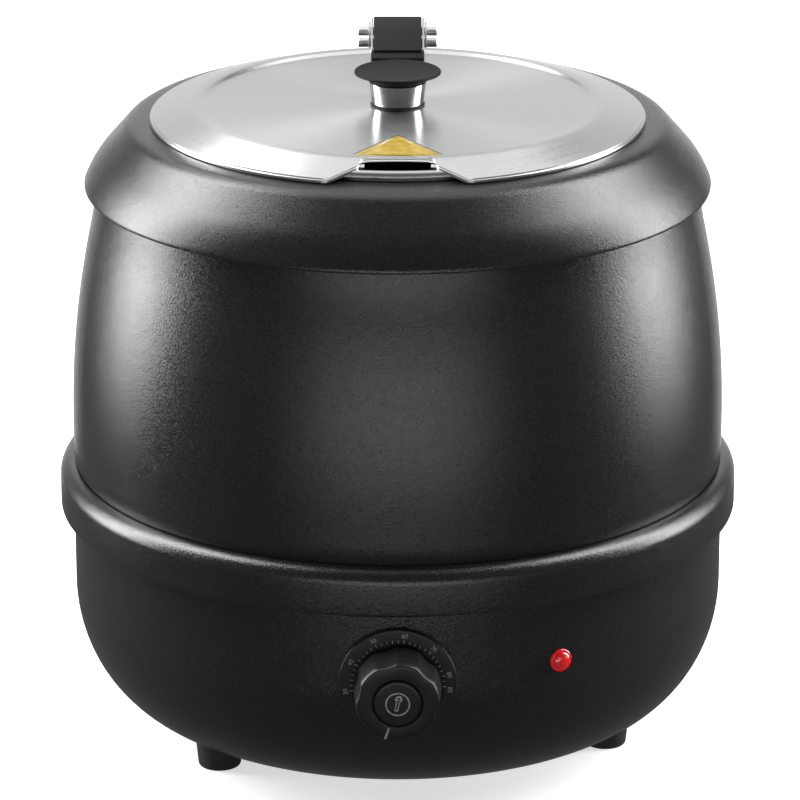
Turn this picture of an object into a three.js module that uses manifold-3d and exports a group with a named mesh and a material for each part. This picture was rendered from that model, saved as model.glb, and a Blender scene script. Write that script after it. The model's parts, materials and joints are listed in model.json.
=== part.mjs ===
// Soup kettle: a water-heated serving kettle with a lift-out pot, a lift-off collar and a hinged lid.
// Millimetres, +Z up, the front faces -Y. The origin is on the kettle's axis at floor level.
import * as THREE from "three";
import { mergeVertices } from "three/addons/utils/BufferGeometryUtils.js";
import Module from "manifold-3d";

const wasm = await Module();
wasm.setup();

// ---------------------------------------------------------------- driving dimensions
const GAP = 0.3;
const WELD = 1e-4;
const SHELL_SEGMENTS = 40;
const ROUND_SEGMENTS = 24;
const SCREW_SEGMENTS = 12;
const THROUGH = 40;

const BOWL = {
  r: 163.4, wall: 2.2, bottomZ: 14, floorR: 113.4, shoulderZ: 78, openingR: 86,
  ledgeR: 157.2, ledgeZ: 137, ledgeDepth: 3, cornerSteps: 7, innerSteps: 4,
};
const BELT = { r: 170, z: 118.5, chamfer: 0.8, shoulderZ: 134.1, round: 7.5, steps: 4 };
const BARREL = {
  r: 163, wall: 1, footZ: 137.3, footR: 158.8, rollZ: 150, taperZ: 165, taper: 0.00128, power: 1.97,
  waistR: 151, waistZ: 269, neckSlope: 0.13, neckZ: 287, crownR: 141, crownZ: 299.5, flangeR: 128, steps: 8,
  crownSteps: 3,
};
const WELL = {
  r: 109, wall: 0.9, floorZ: 57, corner: 8, rimZ: 315, rimR: 120, rimRound: 1.8,
  seatR: 127.5, seatZ: 302.5, edgeR: 140.5,
};
const GASKET = { r0: 129.5, r1: 139.5, z0: 299.8, z1: 301.3 };
const POT = {
  r: 106, wall: 0.8, floorZ: 78, corner: 10, beadR: 110.2, beadZ: 318.1, bead: 2.8, neckZ: 316.6,
};
const COLLAR = {
  r: 154.9, wall: 1, edgeZ: 283.5, lip: 0.9, sideZ: 285.4, holeR: 113.8, topZ: 316.3, brinkR: 124,
  creaseZ: 315.6, bend: 55, lowAngle: 22, highAngle: 41.5, steps: 4, returnR: 150,
};
const LID = {
  rimR: 122.2, rimZ: 318.75, hemZ: 316.6, hemWidth: 2.6, ridgeR: 101.4, ridgeZ: 324.8,
  panelR: 94.5, panelZ: 323.1, centreZ: 322.5, wall: 0.8, stepR: 97.5, holeR: 2.5,
};
const NOTCH = { mouthX: 34, throatX: 20, slotX: 18, mouthY: -118, throatY: -108, slotY: -101.8, corner: 4 };
const KNOB = {
  washerR: 13.5, washerH: 0.7, ferruleR0: 13, ferruleR1: 14.2, ferruleTop: 334.6, boreR: 2.6,
  capR: 21.4, neckR: 14.3, edgeZ: 338.8, topZ: 340, lip: 0.4, brim: 3, dish: 1, screwR: 2.2, screwTop: 337,
  headR: 4.5, headH: 2.2, flareSteps: 4, segments: 32,
};
const HINGE = { y: 133, z: 324.6, pinR: 2.25, pinX: 20.5, boreR: 2.55, heelR: 5, heelSteps: 8 };
const STOP = { y: 137, z: 317.6, r: 2.4, boreR: 2.7 };
const EAR = {
  x0: 13.9, x1: 15.1, frontY: 127, topZ: 329.2, stand: 0.75, plate: 1.5, plateFrom: 9, plateTo: 24,
  lift: 0.5, toe: 1, heelY: 8, backY: 6, backZ: 2, crownY: 3, browZ: 1,
};
const LID_BRACKET = { x0: 12.7, x1: 13.6, base: 1, frontY: 90.5, z: 325.1, frontTopZ: 326.4, step: 0.5 };
const BRACKET_SCREW = { x: 7, along: 16.5, r: 1.5, headR: 2.8, headH: 2, tip: 2, boreR: 1.8 };
const COVER = {
  x: 12.4, wall: 1.3, backY: 136.6, topZ: 331.8, creaseY: 115, creaseZ: 330.2, footY: 88, footZ: 326.7,
  toeX: 13.6, toeY: 80, toeZ: 324.9, toeBackY: 90.2, cavityFrontY: 104,
};
const RIVET = { x: 6.5, y: 116.7, r: 1.2, boreR: 1.5, headR: 2.2, headH: 1 };
const DIAL = {
  z: 82.6, bezelR: 28.5, faceY: -166, knobR: 21, knobBackY: -168.5, knobFrontY: -189.2, frontY: -190,
  scallops: 6, scallop: 1.2, scallopSteps: 12, scallopAngle: 46, capR: 11.5, recessR: 12, recess: 2.4,
  shaftR: 3, shaftBoreR: 3.3, shaftFrontY: -186, shaftBackY: -131, holeR: 6,
};
const THERMOSTAT = {
  x: 22, z: 17, frontY: -148, backY: -122, bushR: 5.5, bushY: -163, postR: 4, postY: -159.2,
  screwX: 14, screwR: 1.5, screwBoreR: 1.8, screwHeadR: 2.6, screwHeadH: 1.8, screwEndY: -138,
};
const LAMP = {
  angle: 28.4, z: 86.7, lensR: 5.75, rimH: 1.5, domeH: 2.8, stemR: 3.7, holeR: 4.2, stemIn: 155,
  bodyR: 5.5, bodyIn: 138, nutR: 7, nutBoreR: 4, nut0: 156.5, nut1: 160,
};
const GLAND = {
  z: 88, boreR: 4.2, threadR: 7.9, holeR: 8.3, hexR: 13, hexY: 168.5, domeR: 11, endY: 190,
  innerY: 150, nutR: 12, nutBoreR: 8.2, nutY0: 152, nutY1: 156.5, noseLength: 8, noseTaper: 3.5,
};
const FOOT = {
  count: 3, ring: 113, firstAngle: -52, height: 13.7, baseR: 10.6, topR: 11.8, edge: 0.8,
  boreR: 2.4, sinkR: 4.8, sinkZ: 5,
};
const FOOT_SCREW = { r: 2, headR: 4.2, headH: 2.4, top: 23, bossR: 5, bossTop: 26 };
const BASE = {
  plateR: 99.5, z: 12.2, thickness: 1.5, screwRing: 93, screws: 4, screwAngle: 45,
  ventR: 3, vents: 8, ventRing: 60,
};
const BASE_SCREW = { r: 1.6, headR: 3.2, headH: 2, top: 22, boreR: 1.9, bossR: 4.5, bossTop: 25 };
const STUD = { r: 3, boreR: 3.3, top: 56.7, bottom: 7, nutR: 5.6 };
const ELEMENT = {
  ring: 62, r: 3.25, z: 51.6, legX: 9, legZ: 29.7, gapAngle: 18, sides: 8, steps: 56, arcPoints: 20,
  elbow: [[1, 0, 8], [1.15, 0.6, 2.8], [1.5, 1.4, 0.4]],
};
const HEAT_PLATE = { r: 80, z0: 55.2, z1: 56.7 };
const CLAMP = { x: 70, y: 8, z0: 46, z1: 48, nutZ0: 40, nutZ1: 44.4 };
const SHIELD = { r: 96, rimZ: 50, z0: 44.7, z1: 45.7, flare: 4, lip: 1.2, wall: 0.8, legHoleR: 6 };
const CUTOUT = { y: 35, r: 8, z0: 47, z1: 54.9 };
const BULB = { x: 30, y: -20, r: 3 };
const TERMINAL = { x: 20, y0: 84, y1: 98, z0: 17.2, z1: 31, holeR: 1.6, holes: 3, pitch: 12, holeDepth: 6 };
const BASE_NUT = { z0: 8, z1: 11.9 };
// The bends of each wire and of the capillary tube are chosen by hand, in order along its route.
const WIRE = {
  r: 1.2, sides: 6, steps: 14, mainsX: 2.2, elementZ: 24, thermostatEnd: [-135, 76], lampEnd: [-130, 92],
};
const MAINS_BENDS = [[4, 138, 82], [10, 125, 62], [12, 100, 42]];
const ELEMENT_BENDS = [[11, 76, 23], [9, 66, 22], [9, 62, 25]];
const THERMOSTAT_BENDS = [
  [60, 80, 24], [108, 30, 30], [104, -50, 36], [60, -105, 50], [28, -135, 75], [23, -135, 76],
];
const LAMP_BENDS = [[26, -130, 92], [34, -124, 93], [50, -114, 89]];
const CAPILLARY = { r: 0.9, sides: 6, steps: 26, x: 12, z: 74 };
const CAPILLARY_BENDS = [
  [12, -118, 73], [14, -115, 62], [18, -104, 53], [20, -94, 52], [22, -80, 47.4],
  [26, -62, 47], [36, -44, 47.4], [40, -28, 50], [36, -20, 51.6],
];

// ---------------------------------------------------------------- materials
function paint(color, roughness, metalness) {
  return new THREE.MeshStandardMaterial({ color, roughness, metalness });
}

const black_plastic = () => paint(0x232325, 0.42, 0);
const powder_coat = () => paint(0x1d1d1f, 0.5, 0.1);
const stainless = () => paint(0xc4c5c7, 0.28, 1);
const polished = () => paint(0xd9dadc, 0.08, 1);
const rubber = () => paint(0x161617, 0.85, 0);
const zinc = () => paint(0xb2b4b6, 0.4, 1);
const silicone = () => paint(0xb9b4aa, 0.7, 0);
const brass = () => paint(0xb8994f, 0.35, 1);
const aluminium = () => paint(0xc9cacb, 0.45, 1);
const phenolic = () => paint(0x2c2a28, 0.6, 0);
const red_lens = () => paint(0xb3180f, 0.15, 0);
const insulation = (color) => paint(color, 0.6, 0);

// ---------------------------------------------------------------- solids
const radians = (degrees) => degrees * Math.PI / 180;

function toSolid(geometry) {
  const bare = geometry.clone();
  bare.deleteAttribute("normal");
  bare.deleteAttribute("uv");
  const welded = mergeVertices(bare, WELD);
  const index = welded.index.array;
  const triangles = [];
  for (let i = 0; i < index.length; i += 3) {
    const [a, b, c] = [index[i], index[i + 1], index[i + 2]];
    if (a !== b && b !== c && c !== a) triangles.push(a, b, c);
  }
  const vertProperties = new Float32Array(welded.attributes.position.array);
  const triVerts = new Uint32Array(triangles);
  return new wasm.Manifold(new wasm.Mesh({ numProp: 3, vertProperties, triVerts }));
}

function toGeometry(solid) {
  const mesh = solid.getMesh();
  const geometry = new THREE.BufferGeometry();
  geometry.setAttribute("position", new THREE.BufferAttribute(new Float32Array(mesh.vertProperties), 3));
  geometry.setIndex(new THREE.BufferAttribute(new Uint32Array(mesh.triVerts), 1));
  geometry.computeVertexNormals();
  return geometry;
}

function cut(geometry, ...tools) {
  return toGeometry(tools.reduce((solid, tool) => solid.subtract(toSolid(tool)), toSolid(geometry)));
}

function join(geometry, ...others) {
  return toGeometry(others.reduce((solid, other) => solid.add(toSolid(other)), toSolid(geometry)));
}

// Turns an outline of [radius, height] points about Z. It ends on the axis or closes on itself.
function turned(outline, segments = ROUND_SEGMENTS) {
  const onAxis = outline[0][0] === 0 && outline.at(-1)[0] === 0;
  const loop = onAxis ? [...outline] : [...outline, outline[0]];
  const area = outline.reduce((sum, [r, z], i) => {
    const [nextR, nextZ] = outline[(i + 1) % outline.length];
    return sum + r * nextZ - nextR * z;
  }, 0);
  if (area < 0) loop.reverse();
  const geometry = new THREE.LatheGeometry(loop.map(([r, z]) => new THREE.Vector2(r, z)), segments);
  return geometry.rotateX(Math.PI / 2);
}

const disc = (r, z0, z1, segments) => turned([[0, z0], [r, z0], [r, z1], [0, z1]], segments);

const washer = (r0, r1, z0, z1, segments) => turned([[r0, z0], [r1, z0], [r1, z1], [r0, z1]], segments);

// A cylinder along Y between two y values.
function rod(r, x, z, y0, y1, segments = ROUND_SEGMENTS) {
  return disc(r, 0, Math.abs(y1 - y0), segments).rotateX(-Math.PI / 2).translate(x, Math.min(y0, y1), z);
}

// A cylinder along X, centred on x = 0.
function axle(r, halfLength, y, z, segments = ROUND_SEGMENTS) {
  return disc(r, -halfLength, halfLength, segments).rotateY(Math.PI / 2).translate(0, y, z);
}

function shapeOf(points) {
  return new THREE.Shape(points.map(([x, y]) => new THREE.Vector2(x, y)));
}

// A flat outline in X and Y raised from z0 to z1.
function slab(points, z0, z1) {
  const geometry = new THREE.ExtrudeGeometry(shapeOf(points), { depth: z1 - z0, bevelEnabled: false });
  return geometry.translate(0, 0, z0);
}

// A side outline in Y and Z carried across from x0 to x1.
function profilePlate(points, x0, x1) {
  const geometry = new THREE.ExtrudeGeometry(shapeOf(points), { depth: x1 - x0, bevelEnabled: false });
  geometry.rotateY(Math.PI / 2).rotateX(Math.PI / 2);
  return geometry.translate(x0, 0, 0);
}

function box(x0, x1, y0, y1, z0, z1) {
  return slab([[x0, y0], [x1, y0], [x1, y1], [x0, y1]], z0, z1);
}

// Points on an arc or an ellipse's quarter, from one angle to another in degrees.
function arc(centreX, centreY, a, b, from, to, steps) {
  return Array.from({ length: steps + 1 }, (_, i) => {
    const angle = radians(from + (to - from) * i / steps);
    return [centreX + a * Math.cos(angle), centreY + b * Math.sin(angle)];
  });
}

function tube(points, r, sides, steps) {
  const places = points.map((p) => new THREE.Vector3(...p));
  const curve = new THREE.CatmullRomCurve3(places, false, "centripetal");
  const section = shapeOf(arc(0, 0, r, r, 0, 360 - 360 / sides, sides - 1));
  return new THREE.ExtrudeGeometry(section, { steps, bevelEnabled: false, extrudePath: curve });
}

function hexNut(r, boreR, z0, z1) {
  return cut(disc(r, z0, z1, 6), disc(boreR, z0 - 1, z1 + 1, SCREW_SEGMENTS));
}

// A screw along +Z with its head below the joint face at z = 0 and its shank above.
function screw(r, headR, headH, length) {
  return turned([[0, -headH], [headR * 0.8, -headH], [headR, -headH * 0.6], [headR, 0], [r, 0], [r, length],
    [0, length]], SCREW_SEGMENTS);
}

const kettle = new THREE.Group();

function piece(name, geometry, material, parent = kettle) {
  const mesh = new THREE.Mesh(toGeometry(toSolid(geometry)), material);
  mesh.name = name;
  parent.add(mesh);
  return mesh;
}

// Where a point at a radius and an angle lies. The angle runs from the front towards +X.
function polar(radius, angle) {
  return [radius * Math.sin(radians(angle)), -radius * Math.cos(radians(angle))];
}

const footAngle = (i) => FOOT.firstAngle + 360 * i / FOOT.count;
const baseScrewAngle = (i) => BASE.screwAngle + 360 * i / BASE.screws;

// ---------------------------------------------------------------- base
function bowlOutline() {
  const a = BOWL.r - BOWL.floorR;
  const b = BOWL.shoulderZ - BOWL.bottomZ;
  const inner = BOWL.r - BOWL.wall;
  return [
    [BOWL.openingR, BOWL.bottomZ],
    ...arc(BOWL.floorR, BOWL.shoulderZ, a, b, -90, 0, BOWL.cornerSteps),
    [BOWL.r, BELT.z],
    [BELT.r - BELT.chamfer, BELT.z],
    [BELT.r, BELT.z + BELT.chamfer],
    ...arc(BELT.r - BELT.round, BELT.shoulderZ, BELT.round, BELT.round, 0, 90, BELT.steps),
    [BELT.r - BELT.round, BOWL.ledgeZ],
    [BOWL.ledgeR, BOWL.ledgeZ],
    [BOWL.ledgeR, BOWL.ledgeZ - BOWL.ledgeDepth],
    [inner, BOWL.ledgeZ - BOWL.ledgeDepth - (inner - BOWL.ledgeR)],
    ...arc(BOWL.floorR, BOWL.shoulderZ, a - BOWL.wall, b - BOWL.wall, 0, -90, BOWL.innerSteps),
    [BOWL.openingR, BOWL.bottomZ + BOWL.wall],
  ];
}

function radialTool(r, angle, z, near, far) {
  return disc(r, near, far, ROUND_SEGMENTS).rotateX(Math.PI / 2).rotateZ(radians(angle)).translate(0, 0, z);
}

// The boss that a screw from below bites into.
function boss(r, top, x, y) {
  return disc(r, BOWL.bottomZ + BOWL.wall / 2, top, SCREW_SEGMENTS).translate(x, y, 0);
}

function baseBowl() {
  let bowl = turned(bowlOutline(), SHELL_SEGMENTS);
  const holes = [];
  for (let i = 0; i < FOOT.count; i++) {
    const [x, y] = polar(FOOT.ring, footAngle(i));
    bowl = join(bowl, boss(FOOT_SCREW.bossR, FOOT_SCREW.bossTop, x, y));
    holes.push(disc(FOOT.boreR, 0, THROUGH, SCREW_SEGMENTS).translate(x, y, 0));
  }
  for (let i = 0; i < BASE.screws; i++) {
    const [x, y] = polar(BASE.screwRing, baseScrewAngle(i));
    bowl = join(bowl, boss(BASE_SCREW.bossR, BASE_SCREW.bossTop, x, y));
    holes.push(disc(BASE_SCREW.boreR, 0, THROUGH, SCREW_SEGMENTS).translate(x, y, 0));
  }
  const wallIn = BOWL.r - THROUGH;
  const wallOut = BOWL.r + THROUGH;
  holes.push(radialTool(DIAL.holeR, 0, DIAL.z, wallIn, wallOut));
  holes.push(radialTool(LAMP.holeR, LAMP.angle, LAMP.z, wallIn, wallOut));
  holes.push(radialTool(GLAND.holeR, 180, GLAND.z, wallIn, wallOut));
  for (const side of [-1, 1]) {
    const x = side * THERMOSTAT.screwX;
    holes.push(rod(THERMOSTAT.screwBoreR, x, DIAL.z, -wallOut, -wallIn, SCREW_SEGMENTS));
  }
  return cut(bowl, ...holes);
}

function barrelRadius(z) {
  if (z > BARREL.waistZ) return BARREL.waistR - BARREL.neckSlope * (z - BARREL.waistZ);
  return BARREL.r - BARREL.taper * Math.max(0, z - BARREL.taperZ) ** BARREL.power;
}

function barrelSkin(inset) {
  const foot = arc(BARREL.footR, BARREL.rollZ, BARREL.r - BARREL.footR - inset,
    BARREL.rollZ - BARREL.footZ, -90, 0, 3);
  const side = Array.from({ length: BARREL.steps }, (_, i) => {
    const z = BARREL.taperZ + (BARREL.neckZ - BARREL.taperZ) * i / (BARREL.steps - 1);
    return [barrelRadius(z) - inset, z];
  });
  const neckR = barrelRadius(BARREL.neckZ);
  const crown = arc(BARREL.crownR, BARREL.neckZ, neckR - BARREL.crownR - inset,
    BARREL.crownZ - BARREL.neckZ - inset, 0, 90, BARREL.crownSteps).slice(1);
  return [...foot, ...side, ...crown, [BARREL.flangeR, BARREL.crownZ - inset]];
}

function barrelShell() {
  const outer = barrelSkin(0);
  const inner = barrelSkin(BARREL.wall).slice(1).reverse();
  return turned([...outer, ...inner, [BARREL.footR - BARREL.wall, BARREL.footZ]], SHELL_SEGMENTS);
}

function wellSkin(outset) {
  const corner = WELL.corner + outset;
  const round = WELL.rimRound - outset;
  return [
    [0, WELL.floorZ + WELL.wall - outset],
    ...arc(WELL.r - WELL.corner, WELL.floorZ + WELL.wall + WELL.corner, corner, corner, -90, 0, 3),
    ...arc(WELL.r + WELL.rimRound, WELL.rimZ - WELL.rimRound, round, round, 180, 90, 2),
    [WELL.rimR - outset / 2, WELL.rimZ - outset],
    [WELL.seatR - outset / 2, WELL.seatZ - outset],
    [WELL.edgeR, WELL.seatZ - outset],
  ];
}

const waterWell = () => turned([...wellSkin(WELL.wall), ...wellSkin(0).reverse()], SHELL_SEGMENTS);

function bottomPlate() {
  const top = BASE.z + BASE.thickness;
  const holes = [disc(STUD.boreR, 0, THROUGH, SCREW_SEGMENTS)];
  for (let i = 0; i < BASE.screws; i++) {
    const [x, y] = polar(BASE.screwRing, baseScrewAngle(i));
    holes.push(disc(BASE_SCREW.boreR, 0, THROUGH, SCREW_SEGMENTS).translate(x, y, 0));
  }
  for (let i = 0; i < BASE.vents; i++) {
    const [x, y] = polar(BASE.ventRing, 360 * i / BASE.vents);
    holes.push(disc(BASE.ventR, 0, THROUGH, SCREW_SEGMENTS).translate(x, y, 0));
  }
  return cut(disc(BASE.plateR, BASE.z, top, SHELL_SEGMENTS), ...holes);
}

function foot() {
  return turned([
    [FOOT.boreR, FOOT.height], [FOOT.boreR, FOOT.sinkZ], [FOOT.sinkR, FOOT.sinkZ], [FOOT.sinkR, 0],
    [FOOT.baseR - FOOT.edge, 0], [FOOT.baseR, FOOT.edge], [FOOT.topR, FOOT.height - FOOT.edge],
    [FOOT.topR, FOOT.height],
  ]);
}

function addBase() {
  piece("base_bowl", baseBowl(), black_plastic());
  piece("barrel", barrelShell(), powder_coat());
  piece("water_well", waterWell(), stainless());
  piece("well_gasket", washer(GASKET.r0, GASKET.r1, GASKET.z0, GASKET.z1, SHELL_SEGMENTS), silicone());
  piece("bottom_plate", bottomPlate(), zinc());
  for (let i = 0; i < FOOT.count; i++) {
    const [x, y] = polar(FOOT.ring, footAngle(i));
    piece(`foot_${i + 1}`, foot(), rubber()).position.set(x, y, 0);
    const seat = FOOT.sinkZ - GAP;
    const shank = screw(FOOT_SCREW.r, FOOT_SCREW.headR, FOOT_SCREW.headH, FOOT_SCREW.top - seat);
    piece(`foot_screw_${i + 1}`, shank, zinc()).position.set(x, y, seat);
  }
  for (let i = 0; i < BASE.screws; i++) {
    const [x, y] = polar(BASE.screwRing, baseScrewAngle(i));
    const seat = BASE.z - GAP;
    const shank = screw(BASE_SCREW.r, BASE_SCREW.headR, BASE_SCREW.headH, BASE_SCREW.top - seat);
    piece(`bottom_screw_${i + 1}`, shank, zinc()).position.set(x, y, seat);
  }
}

// ---------------------------------------------------------------- heater
function elementPath() {
  const turn = 360 - 2 * ELEMENT.gapAngle;
  const points = [];
  for (let i = 0; i <= ELEMENT.arcPoints; i++) {
    const [x, y] = polar(ELEMENT.ring, 180 + ELEMENT.gapAngle + turn * i / ELEMENT.arcPoints);
    points.push([x, y, ELEMENT.z]);
  }
  const leg = (x) => [
    [x, ELEMENT.ring, ELEMENT.legZ],
    ...ELEMENT.elbow.map(([spread, inward, below]) => [x * spread, ELEMENT.ring - inward, ELEMENT.z - below]),
  ];
  return [...leg(-ELEMENT.legX), ...points, ...leg(ELEMENT.legX).reverse()];
}

function heatShield() {
  const dish = turned([
    [0, SHIELD.z0], [SHIELD.r - SHIELD.flare, SHIELD.z0], [SHIELD.r, SHIELD.rimZ],
    [SHIELD.r - SHIELD.lip, SHIELD.rimZ], [SHIELD.r - SHIELD.flare - SHIELD.wall, SHIELD.z1], [0, SHIELD.z1],
  ], SHELL_SEGMENTS);
  const holes = [disc(STUD.boreR, 0, 2 * THROUGH, SCREW_SEGMENTS)];
  for (const side of [-1, 1]) {
    const hole = disc(SHIELD.legHoleR, 0, 2 * THROUGH, SCREW_SEGMENTS);
    holes.push(hole.translate(side * ELEMENT.legX, ELEMENT.ring, 0));
  }
  return cut(dish, ...holes);
}

function terminalBlock() {
  const body = box(-TERMINAL.x, TERMINAL.x, TERMINAL.y0, TERMINAL.y1, TERMINAL.z0, TERMINAL.z1);
  const middle = (TERMINAL.y0 + TERMINAL.y1) / 2;
  const holes = [];
  for (let i = 0; i < TERMINAL.holes; i++) {
    const x = (i - (TERMINAL.holes - 1) / 2) * TERMINAL.pitch;
    const well = disc(TERMINAL.holeR, TERMINAL.z1 - TERMINAL.holeDepth, TERMINAL.z1 + 1, SCREW_SEGMENTS);
    holes.push(well.translate(x, middle, 0));
  }
  return cut(body, ...holes);
}

function addHeater() {
  const studHole = () => disc(STUD.boreR, 0, 2 * THROUGH, SCREW_SEGMENTS);
  piece("heating_element", tube(elementPath(), ELEMENT.r, ELEMENT.sides, ELEMENT.steps), stainless());
  const heatDisc = disc(HEAT_PLATE.r, HEAT_PLATE.z0, HEAT_PLATE.z1, SHELL_SEGMENTS);
  piece("heat_plate", cut(heatDisc, studHole()), aluminium());
  const clampBar = box(-CLAMP.x, CLAMP.x, -CLAMP.y, CLAMP.y, CLAMP.z0, CLAMP.z1);
  piece("element_clamp", cut(clampBar, studHole()), zinc());
  piece("heat_shield", heatShield(), zinc());
  piece("centre_stud", disc(STUD.r, STUD.bottom, STUD.top, SCREW_SEGMENTS), zinc());
  piece("clamp_nut", hexNut(STUD.nutR, STUD.boreR, CLAMP.nutZ0, CLAMP.nutZ1), zinc());
  piece("base_nut", hexNut(STUD.nutR, STUD.boreR, BASE_NUT.z0, BASE_NUT.z1), zinc());
  piece("thermal_cutout", disc(CUTOUT.r, CUTOUT.z0, CUTOUT.z1).translate(0, CUTOUT.y, 0), phenolic());
  const bulb = disc(BULB.r, -BULB.x, BULB.x, SCREW_SEGMENTS).rotateY(Math.PI / 2);
  piece("sensor_bulb", bulb, brass()).position.set(0, BULB.y, ELEMENT.z);
  piece("terminal_block", terminalBlock(), phenolic());
}

// ---------------------------------------------------------------- controls
function thermostatBody() {
  const z0 = DIAL.z - THERMOSTAT.z;
  const z1 = DIAL.z + THERMOSTAT.z;
  let body = box(-THERMOSTAT.x, THERMOSTAT.x, THERMOSTAT.frontY, THERMOSTAT.backY, z0, z1);
  body = join(body, rod(THERMOSTAT.bushR, 0, DIAL.z, THERMOSTAT.bushY, THERMOSTAT.frontY + 1));
  const holes = [rod(DIAL.shaftBoreR, 0, DIAL.z, THERMOSTAT.bushY - 1, DIAL.shaftBackY + GAP)];
  for (const side of [-1, 1]) {
    const x = side * THERMOSTAT.screwX;
    body = join(body, rod(THERMOSTAT.postR, x, DIAL.z, THERMOSTAT.postY, THERMOSTAT.frontY + 1));
    holes.push(rod(THERMOSTAT.screwBoreR, x, DIAL.z, THERMOSTAT.postY - 1, THERMOSTAT.screwEndY + 1,
      SCREW_SEGMENTS));
  }
  return cut(body, ...holes);
}

function bowlClearance() {
  const r = BOWL.r + GAP;
  return disc(r, BOWL.bottomZ, BELT.z, SHELL_SEGMENTS * 2);
}

function dialBezel() {
  const plate = rod(DIAL.bezelR, 0, DIAL.z, DIAL.faceY, DIAL.faceY + 12, SHELL_SEGMENTS);
  const holes = [bowlClearance(), rod(DIAL.holeR, 0, DIAL.z, DIAL.faceY - 1, DIAL.faceY + THROUGH)];
  for (const side of [-1, 1]) {
    holes.push(rod(THERMOSTAT.screwBoreR, side * THERMOSTAT.screwX, DIAL.z, DIAL.faceY - 1,
      DIAL.faceY + THROUGH, SCREW_SEGMENTS));
  }
  return cut(plate, ...holes);
}

function dialKnob() {
  const count = DIAL.scallops * DIAL.scallopSteps;
  const outline = Array.from({ length: count }, (_, i) => {
    const angle = 2 * Math.PI * i / count;
    const dip = DIAL.scallop * Math.max(0, Math.cos(DIAL.scallops * (angle - radians(DIAL.scallopAngle))));
    return [(DIAL.knobR - dip) * Math.cos(angle), (DIAL.knobR - dip) * Math.sin(angle)];
  });
  const depth = DIAL.knobBackY - DIAL.knobFrontY;
  const grip = slab(outline, 0, depth).rotateX(Math.PI / 2).translate(0, DIAL.knobBackY, DIAL.z);
  const bore = rod(DIAL.shaftBoreR, 0, DIAL.z, DIAL.shaftFrontY - GAP, DIAL.knobBackY + 1);
  const recess = rod(DIAL.recessR, 0, DIAL.z, DIAL.knobFrontY - 1, DIAL.knobFrontY + DIAL.recess);
  return cut(grip, bore, recess);
}

function addControls() {
  piece("thermostat_body", thermostatBody(), phenolic());
  piece("dial_bezel", dialBezel(), black_plastic());
  for (const [i, side] of [-1, 1].entries()) {
    const length = THERMOSTAT.screwEndY - DIAL.faceY + GAP;
    const shank = screw(THERMOSTAT.screwR, THERMOSTAT.screwHeadR, THERMOSTAT.screwHeadH, length);
    shank.rotateX(-Math.PI / 2);
    const mesh = piece(`thermostat_screw_${i + 1}`, shank, zinc());
    mesh.position.set(side * THERMOSTAT.screwX, DIAL.faceY - GAP, DIAL.z);
  }
  piece("dial_knob", dialKnob(), black_plastic());
  const capBack = DIAL.knobFrontY + DIAL.recess - GAP;
  piece("dial_cap", rod(DIAL.capR, 0, DIAL.z, DIAL.frontY, capBack), black_plastic());
  piece("thermostat_shaft", rod(DIAL.shaftR, 0, DIAL.z, DIAL.shaftFrontY, DIAL.shaftBackY), brass());
}

// Pieces of the pilot lamp are turned about Z, then laid along the lamp's radius.
function addLamp() {
  const lamp = new THREE.Group();
  lamp.rotation.set(Math.PI / 2, 0, radians(LAMP.angle), "ZYX");
  lamp.position.set(0, 0, LAMP.z);
  kettle.add(lamp);
  const face = BOWL.r + GAP + 0.1;
  const dome = arc(0, face + LAMP.rimH, LAMP.lensR, LAMP.domeH, 0, 90, 4).slice(0, -1);
  piece("lamp_lens", turned([
    [0, LAMP.stemIn], [LAMP.stemR, LAMP.stemIn], [LAMP.stemR, face], [LAMP.lensR, face],
    ...dome, [0, face + LAMP.rimH + LAMP.domeH],
  ]), red_lens(), lamp);
  piece("lamp_body", disc(LAMP.bodyR, LAMP.bodyIn, LAMP.stemIn - GAP), phenolic(), lamp);
  piece("lamp_nut", hexNut(LAMP.nutR, LAMP.nutBoreR, LAMP.nut0, LAMP.nut1), black_plastic(), lamp);
}

// The gland's pieces are turned about Z, then laid along +Y.
function addGland() {
  const gland = new THREE.Group();
  gland.rotation.x = -Math.PI / 2;
  gland.position.z = GLAND.z;
  kettle.add(gland);
  const seat = BOWL.r + GAP + 0.05;
  const nose = turned([
    [0, GLAND.hexY - 1], [GLAND.domeR, GLAND.hexY - 1], [GLAND.domeR, GLAND.endY - GLAND.noseLength],
    [GLAND.domeR - GLAND.noseTaper, GLAND.endY], [0, GLAND.endY],
  ]);
  const thread = disc(GLAND.threadR, GLAND.innerY, seat + 1);
  const body = join(disc(GLAND.hexR, seat, GLAND.hexY, 6), thread, nose);
  piece("cord_gland", cut(body, disc(GLAND.boreR, 0, 2 * GLAND.endY)), black_plastic(), gland);
  piece("gland_nut", hexNut(GLAND.nutR, GLAND.nutBoreR, GLAND.nutY0, GLAND.nutY1), black_plastic(), gland);
}

// ---------------------------------------------------------------- wiring
const wire = (points) => tube(points, WIRE.r, WIRE.sides, WIRE.steps);
const onSide = (side, points) => points.map(([x, y, z]) => [side * x, y, z]);

function mainsWire(side) {
  const blockY = (TERMINAL.y0 + TERMINAL.y1) / 2;
  const blockTop = TERMINAL.z1 + GAP;
  return wire(onSide(side, [
    [WIRE.mainsX, GLAND.innerY - GAP, GLAND.z], ...MAINS_BENDS,
    [TERMINAL.pitch, blockY, blockTop + TERMINAL.holeDepth], [TERMINAL.pitch, blockY, blockTop],
  ]));
}

function elementWire(side) {
  return wire(onSide(side, [
    [TERMINAL.pitch, TERMINAL.y0 - GAP, WIRE.elementZ], ...ELEMENT_BENDS,
    [ELEMENT.legX, ELEMENT.ring, ELEMENT.legZ - GAP],
  ]));
}

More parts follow.
